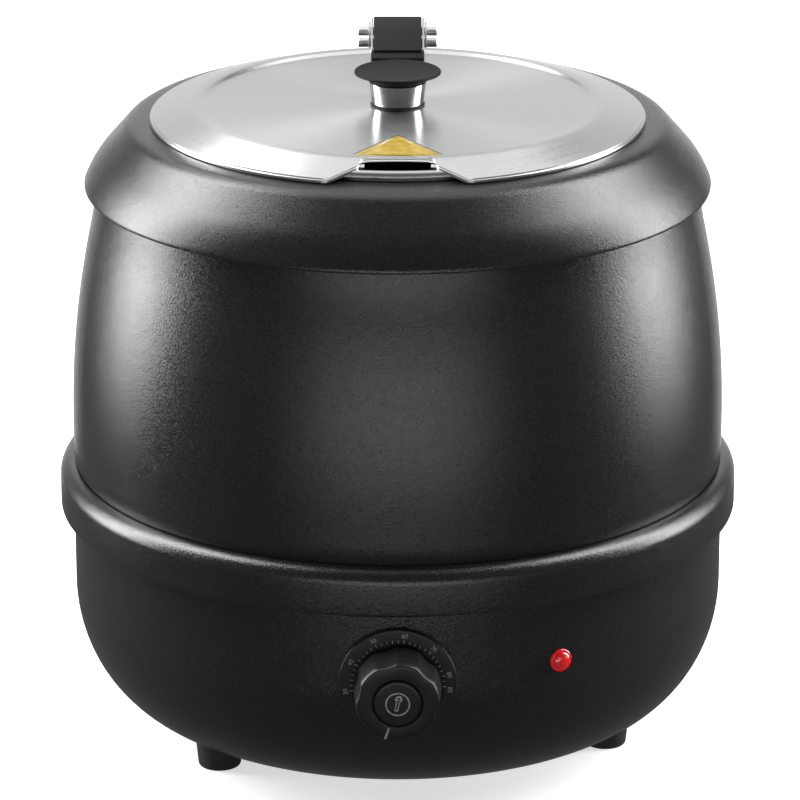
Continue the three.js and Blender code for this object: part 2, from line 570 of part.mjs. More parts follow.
function addWiring() {
  for (const [i, side] of [-1, 1].entries()) {
    piece(`mains_wire_${i + 1}`, mainsWire(side), insulation(side < 0 ? 0x5a3a22 : 0x2c4f8f));
    piece(`element_wire_${i + 1}`, elementWire(side), insulation(0xd8d5cc));
  }
  const bodyX = THERMOSTAT.x + GAP;
  const toBlock = [[TERMINAL.x + GAP, TERMINAL.y0 + 6, WIRE.elementZ], ...THERMOSTAT_BENDS];
  piece("thermostat_wire", wire([...toBlock, [bodyX, ...WIRE.thermostatEnd]]), insulation(0x8c1b16));
  const [lampX, lampY] = polar(LAMP.bodyIn - GAP, LAMP.angle);
  const toLamp = [...LAMP_BENDS, [lampX - 4, lampY + 7, LAMP.z], [lampX, lampY, LAMP.z]];
  piece("lamp_wire", wire([[bodyX, ...WIRE.lampEnd], ...toLamp]), insulation(0xc9a227));
  const toBulb = [
    [CAPILLARY.x, THERMOSTAT.backY + GAP, CAPILLARY.z], ...CAPILLARY_BENDS, [BULB.x + GAP, BULB.y, ELEMENT.z],
  ];
  piece("capillary_tube", tube(toBulb, CAPILLARY.r, CAPILLARY.sides, CAPILLARY.steps), brass());
}

// ---------------------------------------------------------------- pot
function soupPot() {
  const outerCorner = arc(POT.r - POT.corner, POT.floorZ + POT.corner, POT.corner, POT.corner, -90, 0, 3);
  const innerCorner = arc(POT.r - POT.corner, POT.floorZ + POT.corner, POT.corner - POT.wall,
    POT.corner - POT.wall, 0, -90, 3);
  const bead = arc(POT.beadR, POT.beadZ, POT.bead, POT.bead, -150, 150, 8);
  return turned([[0, POT.floorZ], ...outerCorner, [POT.r, POT.neckZ], ...bead,
    [POT.r - POT.wall, POT.beadZ], ...innerCorner, [0, POT.floorZ + POT.wall]], SHELL_SEGMENTS);
}

// ---------------------------------------------------------------- collar
function collarSkin(inset) {
  const low = radians(COLLAR.lowAngle);
  const centreR = COLLAR.r - COLLAR.bend * Math.cos(low);
  const centreZ = COLLAR.sideZ - COLLAR.bend * Math.sin(low);
  const bend = COLLAR.bend - inset;
  const side = arc(centreR, centreZ, bend, bend, COLLAR.lowAngle, COLLAR.highAngle, COLLAR.steps);
  const [lastR, lastZ] = side.at(-1);
  const creaseZ = COLLAR.creaseZ - inset;
  const creaseR = lastR - (creaseZ - lastZ) * Math.tan(radians(COLLAR.highAngle));
  const topZ = COLLAR.topZ - inset;
  return [...side, [creaseR, creaseZ], [COLLAR.brinkR, topZ], [COLLAR.holeR, topZ]];
}

function collarShell() {
  const outer = collarSkin(0);
  const inner = collarSkin(COLLAR.wall).reverse();
  return turned([[COLLAR.returnR, COLLAR.edgeZ], [COLLAR.r - COLLAR.lip, COLLAR.edgeZ],
    [COLLAR.r, COLLAR.edgeZ + COLLAR.lip], ...outer, ...inner,
    [COLLAR.r - 2 * COLLAR.wall, COLLAR.edgeZ + COLLAR.wall], [COLLAR.returnR, COLLAR.edgeZ + COLLAR.wall]],
  SHELL_SEGMENTS);
}

// The collar's sloping shoulder at the back: a distance down the slope and a height off it give [y, z].
function onShoulder(along, off) {
  const slope = radians(COLLAR.highAngle);
  const [creaseR, creaseZ] = collarSkin(0).at(-3);
  const down = [Math.sin(slope), -Math.cos(slope)];
  const out = [Math.cos(slope), Math.sin(slope)];
  return [creaseR + along * down[0] + off * out[0], creaseZ + along * down[1] + off * out[1]];
}

// A tool or fastener made along +Z, stood on the shoulder and pointing into it.
function intoShoulder(geometry, x, off) {
  const [y, z] = onShoulder(BRACKET_SCREW.along, off);
  return geometry.rotateX(Math.PI / 2 + radians(COLLAR.highAngle)).translate(x, y, z);
}

function hingeBracket() {
  const foot = onShoulder(EAR.plateTo, EAR.stand);
  const heel = onShoulder(EAR.plateTo, EAR.stand + EAR.plate);
  const toe = onShoulder(0, EAR.stand);
  const floor = COLLAR.topZ + EAR.lift;
  const outline = [
    [EAR.frontY, floor], [toe[0] - EAR.toe, floor], toe, foot, heel, [HINGE.y + EAR.heelY, STOP.z],
    [HINGE.y + EAR.backY, HINGE.z + EAR.backZ], [HINGE.y + EAR.crownY, EAR.topZ],
    [HINGE.y - EAR.crownY, EAR.topZ], [EAR.frontY, HINGE.z + EAR.browZ],
  ];
  const plate = [onShoulder(EAR.plateFrom, EAR.stand), foot, heel,
    onShoulder(EAR.plateFrom, EAR.stand + EAR.plate)];
  let bracket = profilePlate(plate, -EAR.x1, EAR.x1);
  for (const side of [-1, 1]) {
    const [x0, x1] = [side * EAR.x0, side * EAR.x1].sort((a, b) => a - b);
    bracket = join(bracket, profilePlate(outline, x0, x1));
  }
  const holes = [axle(HINGE.boreR, THROUGH, HINGE.y, HINGE.z), axle(STOP.boreR, THROUGH, STOP.y, STOP.z)];
  return cut(bracket, ...holes, ...bracketScrewHoles());
}

function bracketScrewHoles() {
  const hole = () => disc(BRACKET_SCREW.boreR, -THROUGH / 4, THROUGH / 4, SCREW_SEGMENTS);
  return [-1, 1].map((side) => intoShoulder(hole(), side * BRACKET_SCREW.x, 0));
}

function addCollar() {
  piece("collar", cut(collarShell(), ...bracketScrewHoles()), powder_coat());
  piece("hinge_bracket", hingeBracket(), stainless());
  piece("hinge_pin", axle(HINGE.pinR, HINGE.pinX, HINGE.y, HINGE.z), stainless());
  piece("stop_pin", axle(STOP.r, HINGE.pinX, STOP.y, STOP.z), stainless());
  const top = EAR.stand + EAR.plate + GAP;
  for (const [i, side] of [-1, 1].entries()) {
    const shank = screw(BRACKET_SCREW.r, BRACKET_SCREW.headR, BRACKET_SCREW.headH, top + BRACKET_SCREW.tip);
    piece(`bracket_screw_${i + 1}`, intoShoulder(shank, side * BRACKET_SCREW.x, top), stainless());
  }
}

// ---------------------------------------------------------------- lid
const lidSlope = (LID.ridgeZ - LID.rimZ) / (LID.rimR - 1 - LID.ridgeR);
const lidSurface = (r) => LID.rimZ + (LID.rimR - 1 - r) * lidSlope;

function lidPlate() {
  const hemR = LID.rimR - LID.hemWidth;
  const under = (r) => lidSurface(r) - LID.wall;
  const plate = turned([
    [LID.holeR, LID.centreZ], [LID.panelR, LID.panelZ], [LID.stepR, LID.ridgeZ - LID.wall / 2],
    [LID.ridgeR, LID.ridgeZ], [LID.rimR - 1, LID.rimZ], [LID.rimR, LID.rimZ - LID.wall],
    [LID.rimR, LID.hemZ + GAP], [LID.rimR - GAP, LID.hemZ], [hemR, LID.hemZ], [hemR, under(hemR)],
    [LID.ridgeR, LID.ridgeZ - LID.wall], [LID.stepR + LID.wall / 2, LID.ridgeZ - 1.5 * LID.wall],
    [LID.panelR + LID.wall / 2, LID.panelZ - LID.wall], [LID.holeR, LID.centreZ - LID.wall],
  ], SHELL_SEGMENTS);
  return cut(plate, ladleNotch(), ...rivetHoles());
}

function ladleNotch() {
  const half = [[NOTCH.mouthX + 2, NOTCH.mouthY - 15], [NOTCH.mouthX, NOTCH.mouthY],
    [NOTCH.throatX, NOTCH.throatY], [NOTCH.slotX, NOTCH.throatY + 2],
    ...arc(NOTCH.slotX - NOTCH.corner, NOTCH.slotY - NOTCH.corner, NOTCH.corner, NOTCH.corner, 0, 90, 4)];
  const mirrored = half.map(([x, y]) => [-x, y]).reverse();
  return slab([...half, ...mirrored], LID.hemZ - THROUGH, LID.ridgeZ + THROUGH);
}

// A tool or fastener made along +Z, set square to the lid's sloping rim over the collar's back.
function onLidRim(geometry, x, off) {
  const tilt = Math.atan(lidSlope);
  const z = lidSurface(RIVET.y);
  return geometry.rotateX(-tilt).translate(x, RIVET.y + off * Math.sin(tilt), z + off * Math.cos(tilt));
}

function rivetHoles() {
  const hole = () => disc(RIVET.boreR, -THROUGH / 4, THROUGH / 4, SCREW_SEGMENTS);
  return [-1, 1].map((side) => onLidRim(hole(), side * RIVET.x, 0));
}

// The back of every piece that turns with the lid stays in a circle about the hinge pin, clear of the stop pin.
const hingeHeel = () => arc(HINGE.y, HINGE.z, HINGE.heelR, HINGE.heelR, -100, 62, HINGE.heelSteps);

// A channel of sheet steel: its base follows the lid's rim and its two cheeks turn on the hinge pin.
function lidBracket() {
  const rise = GAP + 0.1;
  const rimY = LID.rimR - 1;
  const under = [[LID_BRACKET.frontY, LID_BRACKET.z], [LID.ridgeR, LID_BRACKET.z], [rimY, LID.rimZ + rise]];
  const over = under.map(([y, z]) => [y, z + LID_BRACKET.base]).reverse();
  const top = [
    [COVER.backY, COVER.topZ - LID_BRACKET.step], [COVER.creaseY, COVER.creaseZ - LID_BRACKET.step],
    [LID_BRACKET.frontY, LID_BRACKET.frontTopZ],
  ];
  let bracket = profilePlate([...under, ...over], -LID_BRACKET.x1, LID_BRACKET.x1);
  for (const side of [-1, 1]) {
    const [x0, x1] = [side * LID_BRACKET.x0, side * LID_BRACKET.x1].sort((a, b) => a - b);
    bracket = join(bracket, profilePlate([...under, ...hingeHeel(), ...top], x0, x1));
  }
  return cut(bracket, axle(HINGE.boreR, THROUGH, HINGE.y, HINGE.z), ...rivetHoles());
}

function hingeCover() {
  const rise = LID_BRACKET.base + 2 * GAP + 0.1;
  const rimY = LID.rimR - 1;
  const floor = [[LID_BRACKET.frontY, LID_BRACKET.z + LID_BRACKET.base + GAP],
    [LID.ridgeR, LID_BRACKET.z + LID_BRACKET.base + GAP], [rimY, LID.rimZ + rise]];
  const roof = [[COVER.backY, COVER.topZ], [COVER.creaseY, COVER.creaseZ], [COVER.footY, COVER.footZ]];
  const front = [[COVER.footY, LID_BRACKET.z - 1], [LID_BRACKET.frontY - GAP, LID_BRACKET.z - 1]];
  const toe = [[COVER.toeY, LID.panelZ + GAP + 0.1], [COVER.toeBackY, LID.panelZ + GAP + 0.1],
    [COVER.toeBackY, COVER.toeZ + 0.6], [COVER.toeY + 1, COVER.toeZ], [COVER.toeY, COVER.toeZ - 0.5]];
  const shell = profilePlate([...floor, ...hingeHeel(), ...roof, ...front], -COVER.x, COVER.x);
  const cavity = profilePlate([[COVER.cavityFrontY, LID_BRACKET.z - 1], [rimY, LID.rimZ - 1],
    [COVER.backY, LID.rimZ - 1], [COVER.backY - COVER.wall, COVER.topZ - COVER.wall],
    [COVER.creaseY, COVER.creaseZ - COVER.wall], [COVER.cavityFrontY, COVER.footZ + 0.7]],
  -COVER.x + COVER.wall, COVER.x - COVER.wall);
  return cut(join(shell, profilePlate(toe, -COVER.toeX, COVER.toeX)), cavity,
    axle(HINGE.boreR, THROUGH, HINGE.y, HINGE.z));
}

function knobCap() {
  const flare = arc(KNOB.capR, KNOB.ferruleTop + GAP, KNOB.capR - KNOB.neckR,
    KNOB.edgeZ - KNOB.ferruleTop - GAP, 180, 90, KNOB.flareSteps);
  const solid = turned([
    [0, KNOB.ferruleTop + GAP], ...flare, [KNOB.capR, KNOB.topZ - KNOB.lip], [KNOB.capR - KNOB.lip, KNOB.topZ],
    [KNOB.capR - KNOB.brim, KNOB.topZ - KNOB.lip], [0, KNOB.topZ - KNOB.dish],
  ], KNOB.segments);
  return cut(solid, disc(KNOB.boreR, KNOB.ferruleTop - 1, KNOB.screwTop + GAP, SCREW_SEGMENTS));
}

function addLid() {
  piece("lid", lidPlate(), stainless());
  piece("lid_bracket", lidBracket(), stainless());
  piece("hinge_cover", hingeCover(), black_plastic());
  for (const [i, side] of [-1, 1].entries()) {
    const top = LID_BRACKET.base + 2 * GAP + 0.2;
    const under = -LID.wall - GAP - 0.3;
    const head = [[0, under - RIVET.headH], [RIVET.headR, under - RIVET.headH], [RIVET.headR, under],
      [RIVET.r, under], [RIVET.r, top], [RIVET.headR, top], [RIVET.headR * 0.7, top + RIVET.headH],
      [0, top + RIVET.headH]];
    piece(`lid_rivet_${i + 1}`, onLidRim(turned(head, SCREW_SEGMENTS), side * RIVET.x, 0), stainless());
  }
  const washerZ = LID.centreZ + GAP;
  const ferruleZ = washerZ + KNOB.washerH + GAP;
  const seal = washer(KNOB.boreR, KNOB.washerR, washerZ, washerZ + KNOB.washerH, KNOB.segments);
  piece("knob_washer", seal, rubber());
  piece("knob_ferrule", turned([[KNOB.boreR, ferruleZ], [KNOB.ferruleR0, ferruleZ],
    [KNOB.ferruleR1, KNOB.ferruleTop], [KNOB.boreR, KNOB.ferruleTop]], KNOB.segments), polished());
  piece("knob_cap", knobCap(), black_plastic());
  const seat = LID.centreZ - LID.wall - GAP;
  piece("knob_screw", screw(KNOB.screwR, KNOB.headR, KNOB.headH, KNOB.screwTop - seat), stainless())
    .position.set(0, 0, seat);
}

addBase();
addHeater();
addControls();
addLamp();
addGland();
addWiring();
piece("soup_pot", soupPot(), stainless());
addCollar();
addLid();

export default kettle;
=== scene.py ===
import json
import math
from types import SimpleNamespace as Sizes

import bmesh
import bpy
from mathutils import Matrix, Vector


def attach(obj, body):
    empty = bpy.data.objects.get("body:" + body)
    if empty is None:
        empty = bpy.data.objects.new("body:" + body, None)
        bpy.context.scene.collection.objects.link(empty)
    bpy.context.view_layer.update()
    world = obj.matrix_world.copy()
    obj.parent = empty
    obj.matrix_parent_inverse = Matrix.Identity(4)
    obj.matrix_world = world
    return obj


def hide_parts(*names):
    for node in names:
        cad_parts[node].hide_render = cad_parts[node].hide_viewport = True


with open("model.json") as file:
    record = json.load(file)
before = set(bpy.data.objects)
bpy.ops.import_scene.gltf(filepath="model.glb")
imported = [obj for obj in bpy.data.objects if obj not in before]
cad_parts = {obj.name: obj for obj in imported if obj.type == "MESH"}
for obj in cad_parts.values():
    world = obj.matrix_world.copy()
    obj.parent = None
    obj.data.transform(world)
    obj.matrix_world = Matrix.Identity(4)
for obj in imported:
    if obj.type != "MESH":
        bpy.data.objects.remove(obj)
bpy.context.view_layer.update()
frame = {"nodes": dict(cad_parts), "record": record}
MM = 0.001
TAU = 2 * math.pi

# ------------------------------------------------------------------ driving dimensions
# These are the CAD's sizes, drawn in by SKIN or a little more so that the fine shells stay inside it.
# In names, r is a radius and x, y and z are places along the axes. A pair is a place in Y and Z.
SKIN = 0.05

BOWL = Sizes(r=163.4 - SKIN, inner_r=161.1, z=14.1, inner_z=16.3, opening_r=86.5, opening_z=16.1,
             turn_r=113.4, turn_z=78, seam_z=117.6, ledge_r=157.3, ledge_z=137.1, step_z=134.1, taper_z=130)
BELT = Sizes(r=169.96, z=118.5 + SKIN, edge_r=169.6, edge_z=119.6, round_r=162.5, round_z=134.1)
BARREL = Sizes(r=163, wall=0.9, foot_r=158.8, foot_z=137.4, roll_z=150, side_z=153, taper_z=165,
               taper=0.00128, power=1.97, waist_r=151, waist_z=269, neck_slope=0.13, neck_z=288,
               crown_r=141, crown_z=299.4, flange_r=128.1, inner_z=138, inner_drop=0.02)
WELL = Sizes(wall=0.8, corner_r=101, corner_z=65.9, corner=8.85, rim_r=110.8, rim_z=313.2, rim=0.95,
             lip_r=119.6, lip_z=314.1, inner_lip_r=120.2, seat_r=127.1, inner_seat_r=127.5, seat_z=301.7,
             seat_wall=0.7, edge_r=140.4)
POT = Sizes(flat_r=60, corner_r=96, corner_z=88, corner=9.95, inner_corner=9.2, inner_r=105.25, neck_z=316,
            lip_z=317.2, bead_r=110.2, bead_z=318.1, bead=2.8 - SKIN)
COLLAR = Sizes(r=154.9 - SKIN, wall=0.9, edge_z=283.6, lip=0.9, side_z=285.4, return_r=150.1, bend=55,
               low_angle=22, high_angle=41.5, crease_z=315.6 - SKIN, crease=4.5, brink_r=124, brink=3,
               top_z=316.3 - SKIN, hole_r=113.9, hole_z=315.4, inner_r=153.6, inner_lip_r=153,
               inner_crease_z=314.6, inner_crease_in=0.5, inner_shoulder=0.7)
LID = Sizes(centre_z=322.5, dish=0.6, panel_r=94.5, panel_z=323.1, step=3.4, rise=1.6, ridge_r=101.4,
            ridge_z=324.7, slope=6.05 / 19.8, ease=0.5, rim_r=122.15, wall=0.8, hem_from=1.3)
# The rings of points on the lid's panel, from the knob's screw hole out.
LID_RINGS = (2.6, 8, 16, 26, 38, 50, 62, 74, 84, 91, LID.panel_r)
HEM = Sizes(width=2.3, drop=1.95, inner_top=-0.12, crown=1.2, crown_z=-0.02, outer=0.02, outer_z=-0.25)
NOTCH = Sizes(slot_x=18, slot_y=101.8, corner=4, mouth_x=34.2, mouth_y=117.2, straight_step=2)
# The notch's curve from its throat out to the rim, in X and distance to the front, listed point by point.
NOTCH_FLARE = [(18.15, 106.6), (18.6, 107.6), (19.6, 108.5), (21.5, 109.7), (24, 111.4), (27, 113.4),
               (30, 115.4), (32.2, 116.9)]
KNOB = Sizes(bore_r=2.7, washer_r=13.4, washer_z=322.85, washer_top=323.45, ferrule_z=323.85,
             ferrule_r=12.95, waist_r=13.1, waist_z=326, ferrule_top_r=14.15, ferrule_top=334.5,
             neck_r=14.35, neck_z=334.95, flare_r=21.3, flare_z=335, flare_reach=6.9, flare_rise=3.75,
             edge_r=21.35, edge_z=339.55, top_r=20.6, top_z=339.95, cup_z=337.4, dish_z=339.05)
STICKER = Sizes(tip_y=-55, base_y=-92, half=22.6, lift=0.1, foil=0.06, line=0.55, line_lift=0.15, ink=0.04)
PIN = Sizes(at=(133, 324.6), r=2.25 - SKIN, bore_r=2.45, ear_bore_r=2.5)
STOP = Sizes(at=(137, 317.6), r=2.4 - SKIN, bore_r=2.65)
ROD_HALF = 20.5 - SKIN
HEEL = Sizes(r=5 - SKIN, start=-100, end=62)
LID_BRACKET = Sizes(x0=12.7, x1=13.6, front_y=90.6, z=325.15, fold_y=101.4, rim_y=121.2, rim_z=319.2,
                    base_x=12.8)
COVER = Sizes(x=12.35, front_y=88, back=(136.5, 331.75), crease=(115, 330.15), foot_z=326.65, under_z=326.45,
              lip_y=90.2, lip_z=324.2, toe_x=13.5)
EAR = Sizes(x0=13.95, x1=15.05, fillet=0.8)
SHOULDER = Sizes(crease=(132.37, 315.6), plate_from=9.1, plate_to=23.9, under=0.8, over=2.2, half=14.2,
                 screw=16.5)
BRACKET_SCREW = Sizes(x=7, stand=2.6, head_r=2.75, head_h=1.9)
RIVET = Sizes(x=6.5, y=116.7, r=1.15, head_r=2.15)
DIAL = Sizes(z=82.6, face_y=-166 + SKIN, knob_y=-168.5 - SKIN, cap_y=-187.1, glyph_y=-189.93,
             pointer_y=-189.1, pointer_turn=-198.4, phase=46, scallops=6, scallop=1.15, scallop_from=17.5,
             scallop_fade=2.5)
SCALE = Sizes(low=30, start=-98, marks=28, pitch=7.05, degrees_each=3.525, long_every=5, long_r=23.2,
              short_r=22.7, from_r=21.4, half=0.2, figure_r=24.1, figure=3.1,
              values=(30, 40, 50, 60, 70, 80, 85))
INK = 0.05
LAMP = Sizes(angle=28.4, ring=163.85, z=86.7, stem_r=3.65, stem_in=-8.7, rim_r=5.7, rim_h=1.7, dome_r=4.55,
             dome_h=2.4)
FOOT = Sizes(count=3, ring=113, first_angle=-52, bore_r=2.5, sink_r=4.8, sink_z=5, top_z=13.65,
             top_r=11.75, base_r=10.6, tread_r=9.9, tread_z=0.02, screw_z=4.7, screw_r=4.1, screw_h=2.3,
             slot=1.1, shank=17)
BASE = Sizes(r=99.4, z=12.25, thickness=1.4, screws=4, screw_ring=93, screw_angle=45, screw_hole=1.9,
             vents=8, vent_ring=60, vent_r=3, stud_hole=3.3, head_z=11.85, head_r=3.1, head_h=1.9, shank=9)
GLAND = Sizes(y=163.8, z=88, bore_r=4.3, thread_r=7.8, thread_in=-13.5, hex_r=12.9, hex_to=4.5, dome_r=10.9,
              nose_from=18.2, nose_r=7.6, end=26.1, ribs=24, rib=0.35, rib_from=6, rib_to=19.5)


# ------------------------------------------------------------------ mesh helpers
def finish_mesh(name, verts, faces, sharp=32, place=None):
    """Makes an object from points and faces, with the faces all turned outwards."""
    mesh = bpy.data.meshes.new(name)
    mesh.from_pydata([(x * MM, y * MM, z * MM) for x, y, z in verts], [], faces)
    mesh.validate()
    bm = bmesh.new()
    bm.from_mesh(mesh)
    bmesh.ops.remove_doubles(bm, verts=bm.verts, dist=1e-7)
    bmesh.ops.recalc_face_normals(bm, faces=bm.faces)
    bm.to_mesh(mesh)
    bm.free()
    return add_object(name, mesh, sharp, place)


def add_object(name, mesh, sharp=32, place=None):
    """Adds a mesh to the scene, shaded smooth except at edges that turn by more than sharp."""
    if place is not None:
        mesh.transform(place)
    for polygon in mesh.polygons:
        polygon.use_smooth = True
    mesh.set_sharp_from_angle(angle=math.radians(sharp))
    obj = bpy.data.objects.new(name, mesh)
    bpy.context.scene.collection.objects.link(obj)
    return obj


def curve_mesh(curve):
    """The mesh of a curve, made with a temporary object."""
    temporary = bpy.data.objects.new(curve.name + "_curve", curve)
    bpy.context.scene.collection.objects.link(temporary)
    mesh = bpy.data.meshes.new_from_object(temporary)
    bpy.data.objects.remove(temporary)
    return mesh


def arc(cx, cy, a, b, start, end, steps):
    """Points along an ellipse with half axes a and b, from the start angle to the end angle."""
    points = []
    for i in range(steps + 1):
        t = math.radians(start + (end - start) * i / steps)
        points.append((cx + a * math.cos(t), cy + b * math.sin(t)))
    return points


def circle(x, y, r, count=32):
    """A closed outline with count points."""
    return [(x + r * math.cos(TAU * i / count), y + r * math.sin(TAU * i / count)) for i in range(count)]


def box(x0, y0, x1, y1, *fillet):
    """A rectangle's corners, each with the same fillet where one is given."""
    return [(x0, y0, *fillet), (x1, y0, *fillet), (x1, y1, *fillet), (x0, y1, *fillet)]


def rounded(points, closed=True, steps=4):
    """Rounds each corner of an outline whose point has a third number, its fillet."""
    out = []
    count = len(points)
    for i, point in enumerate(points):
        corner = Vector(point[:2])
        if len(point) < 3 or (not closed and i in (0, count - 1)):
            out.append(tuple(corner))
            continue
        before = Vector(points[i - 1][:2]) - corner
        after = Vector(points[(i + 1) % count][:2]) - corner
        reach = min(point[2], before.length * 0.49, after.length * 0.49)
        start = corner + before.normalized() * reach
        end = corner + after.normalized() * reach
        for k in range(steps + 1):
            t = k / steps
            out.append(tuple(start * (1 - t) ** 2 + corner * 2 * t * (1 - t) + end * t * t))
    return out


def lathe(name, profile, segments=192, shape=None, sharp=32, place=None):
    """Turns (r, z) points about Z. The profile ends on the axis or closes on itself."""
    verts = []
    rings = []
    for r, z in profile:
        if r < 1e-6:
            rings.append([len(verts)])
            verts.append((0, 0, z))
            continue
        ring = []
        for i in range(segments):
            angle = TAU * i / segments
            rr, zz = shape(r, z, angle) if shape else (r, z)
            ring.append(len(verts))
            verts.append((rr * math.cos(angle), rr * math.sin(angle), zz))
        rings.append(ring)
    pairs = list(zip(rings, rings[1:]))
    if len(rings[0]) > 1 and len(rings[-1]) > 1:
        pairs.append((rings[-1], rings[0]))
    faces = []
    for low, high in pairs:
        for i in range(segments):
            j = (i + 1) % segments
            quad = [low[i % len(low)], low[j % len(low)], high[j % len(high)], high[i % len(high)]]
            face = list(dict.fromkeys(quad))
            if len(face) > 2:
                faces.append(face)
    return finish_mesh(name, verts, faces, sharp, place)


def prism(name, outline, depth, bevel=0.0, place=None, holes=(), segments=2):
    """A flat outline in X and Y, raised by depth along Z, with holes, and its edges bevelled."""
    curve = bpy.data.curves.new(name, "CURVE")
    curve.dimensions = "2D"
    curve.fill_mode = "BOTH"
    for loop in (outline, *holes):
        spline = curve.splines.new("POLY")
        spline.points.add(len(loop) - 1)
        for point, (x, y) in zip(spline.points, loop):
            point.co = (x * MM, y * MM, 0, 1)
        spline.use_cyclic_u = True
    curve.extrude = depth * MM / 2
    mesh = curve_mesh(curve)
    mesh.transform(Matrix.Translation((0, 0, depth * MM / 2)))
    bm = bmesh.new()
    bm.from_mesh(mesh)
    bmesh.ops.remove_doubles(bm, verts=bm.verts, dist=1e-7)
    bmesh.ops.dissolve_limit(bm, angle_limit=math.radians(1), verts=bm.verts, edges=bm.edges)
    if bevel:
        edges = [e for e in bm.edges if len(e.link_faces) == 2 and e.calc_face_angle(0) > math.radians(25)]
        bmesh.ops.bevel(bm, geom=edges, offset=bevel * MM, segments=segments, affect="EDGES", profile=0.5,
                        clamp_overlap=True)
    bmesh.ops.recalc_face_normals(bm, faces=bm.faces)
    bm.to_mesh(mesh)
    bm.free()
    return add_object(name, mesh, place=place)


def merge(name, *objects):
    """Joins meshes into one object."""
    bm = bmesh.new()
    for obj in objects:
        bm.from_mesh(obj.data)
    mesh = bpy.data.meshes.new(name)
    bm.to_mesh(mesh)
    bm.free()
    for obj in objects:
        bpy.data.objects.remove(obj)
    return add_object(name, mesh)


def thicken(obj, thickness):
    """Gives a sheet its thickness, inwards from its upper face."""
    solid = obj.modifiers.new("thick", "SOLIDIFY")
    solid.thickness = thickness * MM
    solid.offset = -1


def moved(x=0, y=0, z=0):
    return Matrix.Translation((x * MM, y * MM, z * MM))


def turned(angle, axis):
    return Matrix.Rotation(math.radians(angle), 4, axis)


def side_plane(x):
    """Carries an outline in X and Y to the plane of Y and Z, raised along +X from x."""
    return moved(x=x) @ Matrix(((0, 0, 1, 0), (1, 0, 0, 0), (0, 1, 0, 0), (0, 0, 0, 1)))


def facing_front(y, z):
    """Carries a piece made about +Z so that +Z points to the front, -Y."""
    return moved(y=y, z=z) @ turned(90, "X")


def facing_back(y, z):
    """Carries a piece made about +Z so that +Z points to the back, +Y."""
    return moved(y=y, z=z) @ turned(-90, "X")


def around(ring, angle):
    """The place at an angle from the front, on a ring about the kettle's axis."""
    return ring * math.sin(math.radians(angle)), -ring * math.cos(math.radians(angle))


# ------------------------------------------------------------------ materials
class Nodes:
    """A short way to write a node tree."""

    def __init__(self, name):
        self.material = bpy.data.materials.new(name)
        self.material.use_nodes = True
        self.tree = self.material.node_tree
        self.shader = self.tree.nodes["Principled BSDF"]
        self.place = self.add("ShaderNodeTexCoord").outputs["Object"]

    def add(self, kind, **settings):
        node = self.tree.nodes.new(kind)
        for key, value in settings.items():
            setattr(node, key, value)
        return node

    def link(self, source, target):
        self.tree.links.new(source, target)

    def set(self, **values):
        for key, value in values.items():
            self.shader.inputs[key.replace("_", " ")].default_value = value

    def noise(self, scale, detail=3.0, roughness=0.55, stretch=None, place=None):
        """Noise with a scale per metre: at 1000 its lumps are about a millimetre across."""
        node = self.add("ShaderNodeTexNoise")
        node.inputs["Scale"].default_value = scale
        node.inputs["Detail"].default_value = detail
        node.inputs["Roughness"].default_value = roughness
        source = place or self.place
        if stretch:
            mapping = self.add("ShaderNodeMapping")
            mapping.inputs["Scale"].default_value = stretch
            self.link(source, mapping.inputs["Vector"])
            source = mapping.outputs["Vector"]
        self.link(source, node.inputs["Vector"])
        return node.outputs["Fac"]

    def ramp(self, source, low, high, start=0.0, end=1.0):
        node = self.add("ShaderNodeMapRange")
        node.inputs["From Min"].default_value = start
        node.inputs["From Max"].default_value = end
        node.inputs["To Min"].default_value = low
        node.inputs["To Max"].default_value = high
        self.link(source, node.inputs["Value"])
        return node.outputs["Result"]

    def mix(self, source, first, second, start=0.35, end=0.65):
        node = self.add("ShaderNodeMix", data_type="RGBA")
        node.inputs["A"].default_value = (*first, 1)
        node.inputs["B"].default_value = (*second, 1)
        self.link(self.ramp(source, 0, 1, start, end), node.inputs["Factor"])
        return node.outputs["Result"]

    def math(self, operation, first, second=0.0):
        node = self.add("ShaderNodeMath", operation=operation)
        for socket, value in zip(node.inputs, (first, second)):
            if isinstance(value, (int, float)):
                socket.default_value = value
            else:
                self.link(value, socket)
        return node.outputs["Value"]

    def bump(self, height, distance):
        """A bump of a height field, with its distance in millimetres."""
        node = self.add("ShaderNodeBump")
        node.inputs["Distance"].default_value = distance * MM
        node.inputs["Strength"].default_value = 1.0
        self.link(height, node.inputs["Height"])
        return node.outputs["Normal"]

    def done(self, color, roughness, normal=None):
        self.link(color, self.shader.inputs["Base Color"])
        self.link(roughness, self.shader.inputs["Roughness"])
        if normal is not None:
            self.link(normal, self.shader.inputs["Normal"])
        return self.material


def shade(tone, factor, lift=0.0):
    """A lighter or darker form of a colour."""
    return tuple(channel * factor + lift for channel in tone)


def powder_coat(name="powder_coat", low=0.12, high=0.15, shine=0.45):
    """Fine orange peel: small grain on wider lumps, with cloudy changes of gloss."""
    n = Nodes(name)
    grain = n.noise(1700, detail=2, roughness=0.6)
    lumps = n.noise(760, detail=2, roughness=0.5)
    clouds = n.noise(14, detail=2)
    specks = n.noise(1300, detail=1)
    height = n.math("ADD", grain, n.math("MULTIPLY", lumps, 0.5))
    color = n.mix(specks, (0.009, 0.009, 0.01), (0.018, 0.018, 0.0195))
    roughness = n.math("ADD", n.ramp(clouds, low, high), n.ramp(grain, -0.05, 0.05))
    n.set(Specular_IOR_Level=shine)
    return n.done(color, roughness, n.bump(height, 0.16))


